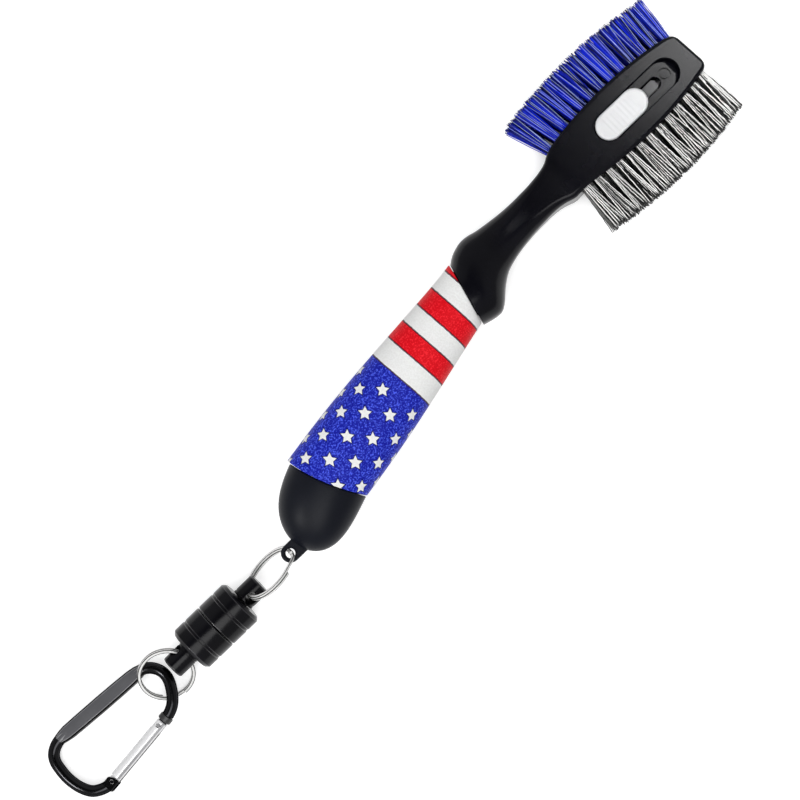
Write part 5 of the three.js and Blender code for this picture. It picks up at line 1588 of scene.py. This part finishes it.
# %% Hinge block, nose and fork
TONGUE_HALF = 0.8
NOSE_HALF = 0.6
CATCH_X = GATE_LENGTH - 1.7
TONGUE_IN_GATE = 3.6
SWING = math.radians(32)
PIN_BORE = 0.8
r = ROD + 0.1
corner_x = (HINGE_FRONT - r * math.sin(SWING)) / math.cos(SWING)
outline = [(-HINGE_BACK, -r), (HINGE_FRONT - 0.2, -r), (HINGE_FRONT, -r + 0.25), (HINGE_FRONT, 0),
           (corner_x, r), (-HINGE_BACK, r)]
layers = [(-r, 0.8), (-r + 0.3, 0.94), (-r + 0.7, 1), (r - 0.7, 1), (r - 0.3, 0.94), (r, 0.8)]
rings = [[Vector((x, y * share, z)) * MM for x, y in outline] for z, share in layers]
combine(carabiner, place(loft("hinge_block", rings), gate_local), "UNION")
start = GATE_LENGTH + GAP
band = turned("nose_band", [(start, 1.95), (start + 0.25, 2.25), (start + NOSE_BAND - 0.25, 2.25),
                            (start + NOSE_BAND, 1.95)], 32)
combine(carabiner, place(band, gate_local), "UNION")
tongue = block(start - TONGUE_IN_GATE, start + 0.5, -1.3, 1.3, -NOSE_HALF, NOSE_HALF)
combine(tongue, block(CATCH_X - 0.8, CATCH_X + 0.8, -0.8, 2, -2, 2))
combine(carabiner, place(tongue, gate_local), "UNION")
fork = block(-1.8, HINGE_FRONT + 1, -3, 3, -TONGUE_HALF - GAP, TONGUE_HALF + GAP)
combine(carabiner, place(fork, gate_local))
combine(carabiner, place(drill((0, 0, -3), (0, 0, 3), PIN_BORE), gate_local))
print("carabiner:", len(carabiner.data.polygons), "faces")

# %% [markdown]
# The rod is polished under its black. The bar's flat faces are satin, its inner bevels get a lighter
# grey as a painted highlight, its sides and outer bevels get near black as painted shade, and the
# band at the nose is dull. All are materials on one solid piece. So its faces are sorted by where they
# lie and which way they face, before the piece is turned to its place.

# %% Finishes of the carabiner
gloss_black = moulded("gloss_black", (0.022, 0.022, 0.024), (0.032, 0.032, 0.034), 0.16, 0.4, 0.003,
                      metallic=1.0)
gloss_shader = gloss_black.node_tree.nodes["Principled BSDF"]
gloss_shader.inputs["Specular Tint"].default_value = (0.2, 0.2, 0.2, 1)
satin_bar = moulded("satin_bar", (0.052, 0.052, 0.06), (0.072, 0.072, 0.08), 0.5, 0.25, 0.012)
# painted highlight: a lighter grey for the bar's inner bevels
painted_bevel_highlight = moulded("painted_bevel_highlight", (0.16, 0.16, 0.17), (0.28, 0.28, 0.29), 0.4, 0.25, 0.01)
# painted shade: near black for the bar's sides and outer bevels
painted_side_shade = moulded("painted_side_shade", (0.002, 0.002, 0.002), (0.004, 0.004, 0.004), 0.5, 0.25, 0.01,
                    specular=0.1)
band_black = moulded("band_black", (0.02, 0.02, 0.021), (0.045, 0.045, 0.047), 0.4, 0.3, 0.01)
bar_frame = (Matrix.Translation(bar_start * MM) @ bar_turn).inverted()
gate_frame = gate_local.inverted()
finish_and_painted_light = []
for face in carabiner.data.polygons:
    x, y, z = bar_frame @ face.center / MM
    on_bar = -0.5 < x < bar_length + 1.2 and abs(y) < 2.6 and abs(z) < 2
    in_gate = gate_frame @ face.center / MM
    on_nose = start < in_gate.x < start + NOSE_BAND and 1.5 < in_gate.yz.length < 3
    flat = abs(face.normal.z)
    # satin, painted highlight or painted shade, by how flat the face lies
    bar_finish_and_painted_light = 1 if flat > 0.97 else 2 if flat > 0.8 else 3
    finish_and_painted_light.append(4 if on_nose else bar_finish_and_painted_light if on_bar else 0)
place(carabiner, carabiner_place)
finished(carabiner, gloss_black, "carabiner", "black_anodised", "carabiner_frame", angle=40)
add_finishes(carabiner, finish_and_painted_light, satin_bar, painted_bevel_highlight, painted_side_shade, band_black)

# %% [markdown]
# The gate is a bright tube that closes over the nose's tongue. It is turned like the clasp, gets a flat
# tongue for the hinge, and is bored and slotted with the same cutters as the frame. Bare aluminium has
# fine lines round it from the lathe, so its noise is stretched. The dark line along both sides is a
# painted dark reflection, and the grey strip beside the top is a painted reflection too; both are
# faces with materials of their own.

# %% Gate
back = HINGE_FRONT + GAP
gate = turned("gate", [(back, ROD - 0.3), (back + 0.1, ROD - 0.1), (back + 0.3, ROD),
                       (GATE_LENGTH - 0.3, ROD), (GATE_LENGTH - 0.1, ROD - 0.1),
                       (GATE_LENGTH, ROD - 0.3)], 40)
tongue = block(0, back + 1, -1.5, 1.5, -TONGUE_HALF, TONGUE_HALF)
combine(tongue, drill((0, 0, -TONGUE_HALF), (0, 0, TONGUE_HALF), 1.5, 32), "UNION")
combine(gate, tongue, "UNION")
combine(gate, drill((3, 0, 0), (GATE_LENGTH - TONGUE_IN_GATE + 1, 0, 0), 1.3))
combine(gate, block(GATE_LENGTH - TONGUE_IN_GATE, GATE_LENGTH + 1, -3, 3, -0.9, 0.9))
for x in (0, CATCH_X):
    combine(gate, drill((x, 0, -3), (x, 0, 3), PIN_BORE))
bright_aluminium, aluminium_shader = new_material("bright_aluminium", 0.3, metallic=0.2)
mat = bright_aluminium
turned_lines = noise(mat, 0.2, 3, coordinates(mat, (1, 0.15, 0.15)))
pale = blend_colours(mat, turned_lines, (0.8, 0.8, 0.81, 1), (0.93, 0.93, 0.94, 1))
plug(mat, pale, aluminium_shader.inputs["Base Color"])
raise_surface(mat, aluminium_shader, turned_lines, 0.008)
# painted reflection: a grey strip beside the top
aluminium_painted_grey_reflection = moulded("aluminium_painted_grey_reflection", (0.3, 0.3, 0.31), (0.45, 0.45, 0.46), 0.4, 0.3, 0.01)
# painted reflection: a dark line along both sides
aluminium_painted_dark_reflection = moulded("aluminium_painted_dark_reflection", (0.02, 0.02, 0.02), (0.05, 0.05, 0.05), 0.4, 0.3, 0.01)
# faces that get the painted reflections
painted_shading = []
for face in gate.data.polygons:
    normal = face.normal
    on_strip = normal.z > 0.5 and -0.7 < normal.y < -0.3 and face.center.x > 4 * MM
    on_edge = 0 < normal.z < 0.5 and abs(normal.y) > 0.8
    painted_shading.append(2 if on_edge else 1 if on_strip else 0)
place(gate, gate_place)
finished(gate, bright_aluminium, "gate", "bright_aluminium", "carabiner_gate", angle=40)
add_finishes(gate, painted_shading, aluminium_painted_grey_reflection, aluminium_painted_dark_reflection)

# %% [markdown]
# ## What stays from the CAD model
# The spike, its carriage, the cover, the detent, screws, magnets, springs and pins have the right
# shape as they are, and modelling them again would only add a second shape to keep true. They get the
# finish of their real material.

# %% CAD parts
steel = moulded("steel", (0.42, 0.42, 0.43), (0.56, 0.56, 0.57), 0.3, 0.2, 0.01, metallic=1.0)
grey_plastic = moulded("grey_plastic", (0.13, 0.13, 0.134), (0.18, 0.18, 0.184), 0.45, 0.3, 0.01)
DRESS = {
    "channel_cover": black_plastic, "spike_carriage": grey_plastic, "spike": steel,
    "detent_ball": steel, "detent_spring": steel, "upper_eye_screw": steel,
    "lower_eye_screw": steel, "upper_magnet": steel, "lower_magnet": steel,
    "gate_hinge_pin": black_anodised, "gate_catch_pin": steel, "gate_spring": steel,
}
for name, material in DRESS.items():
    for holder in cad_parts[name].material_slots:
        holder.material = material
print("dressed", len(DRESS), "CAD parts")
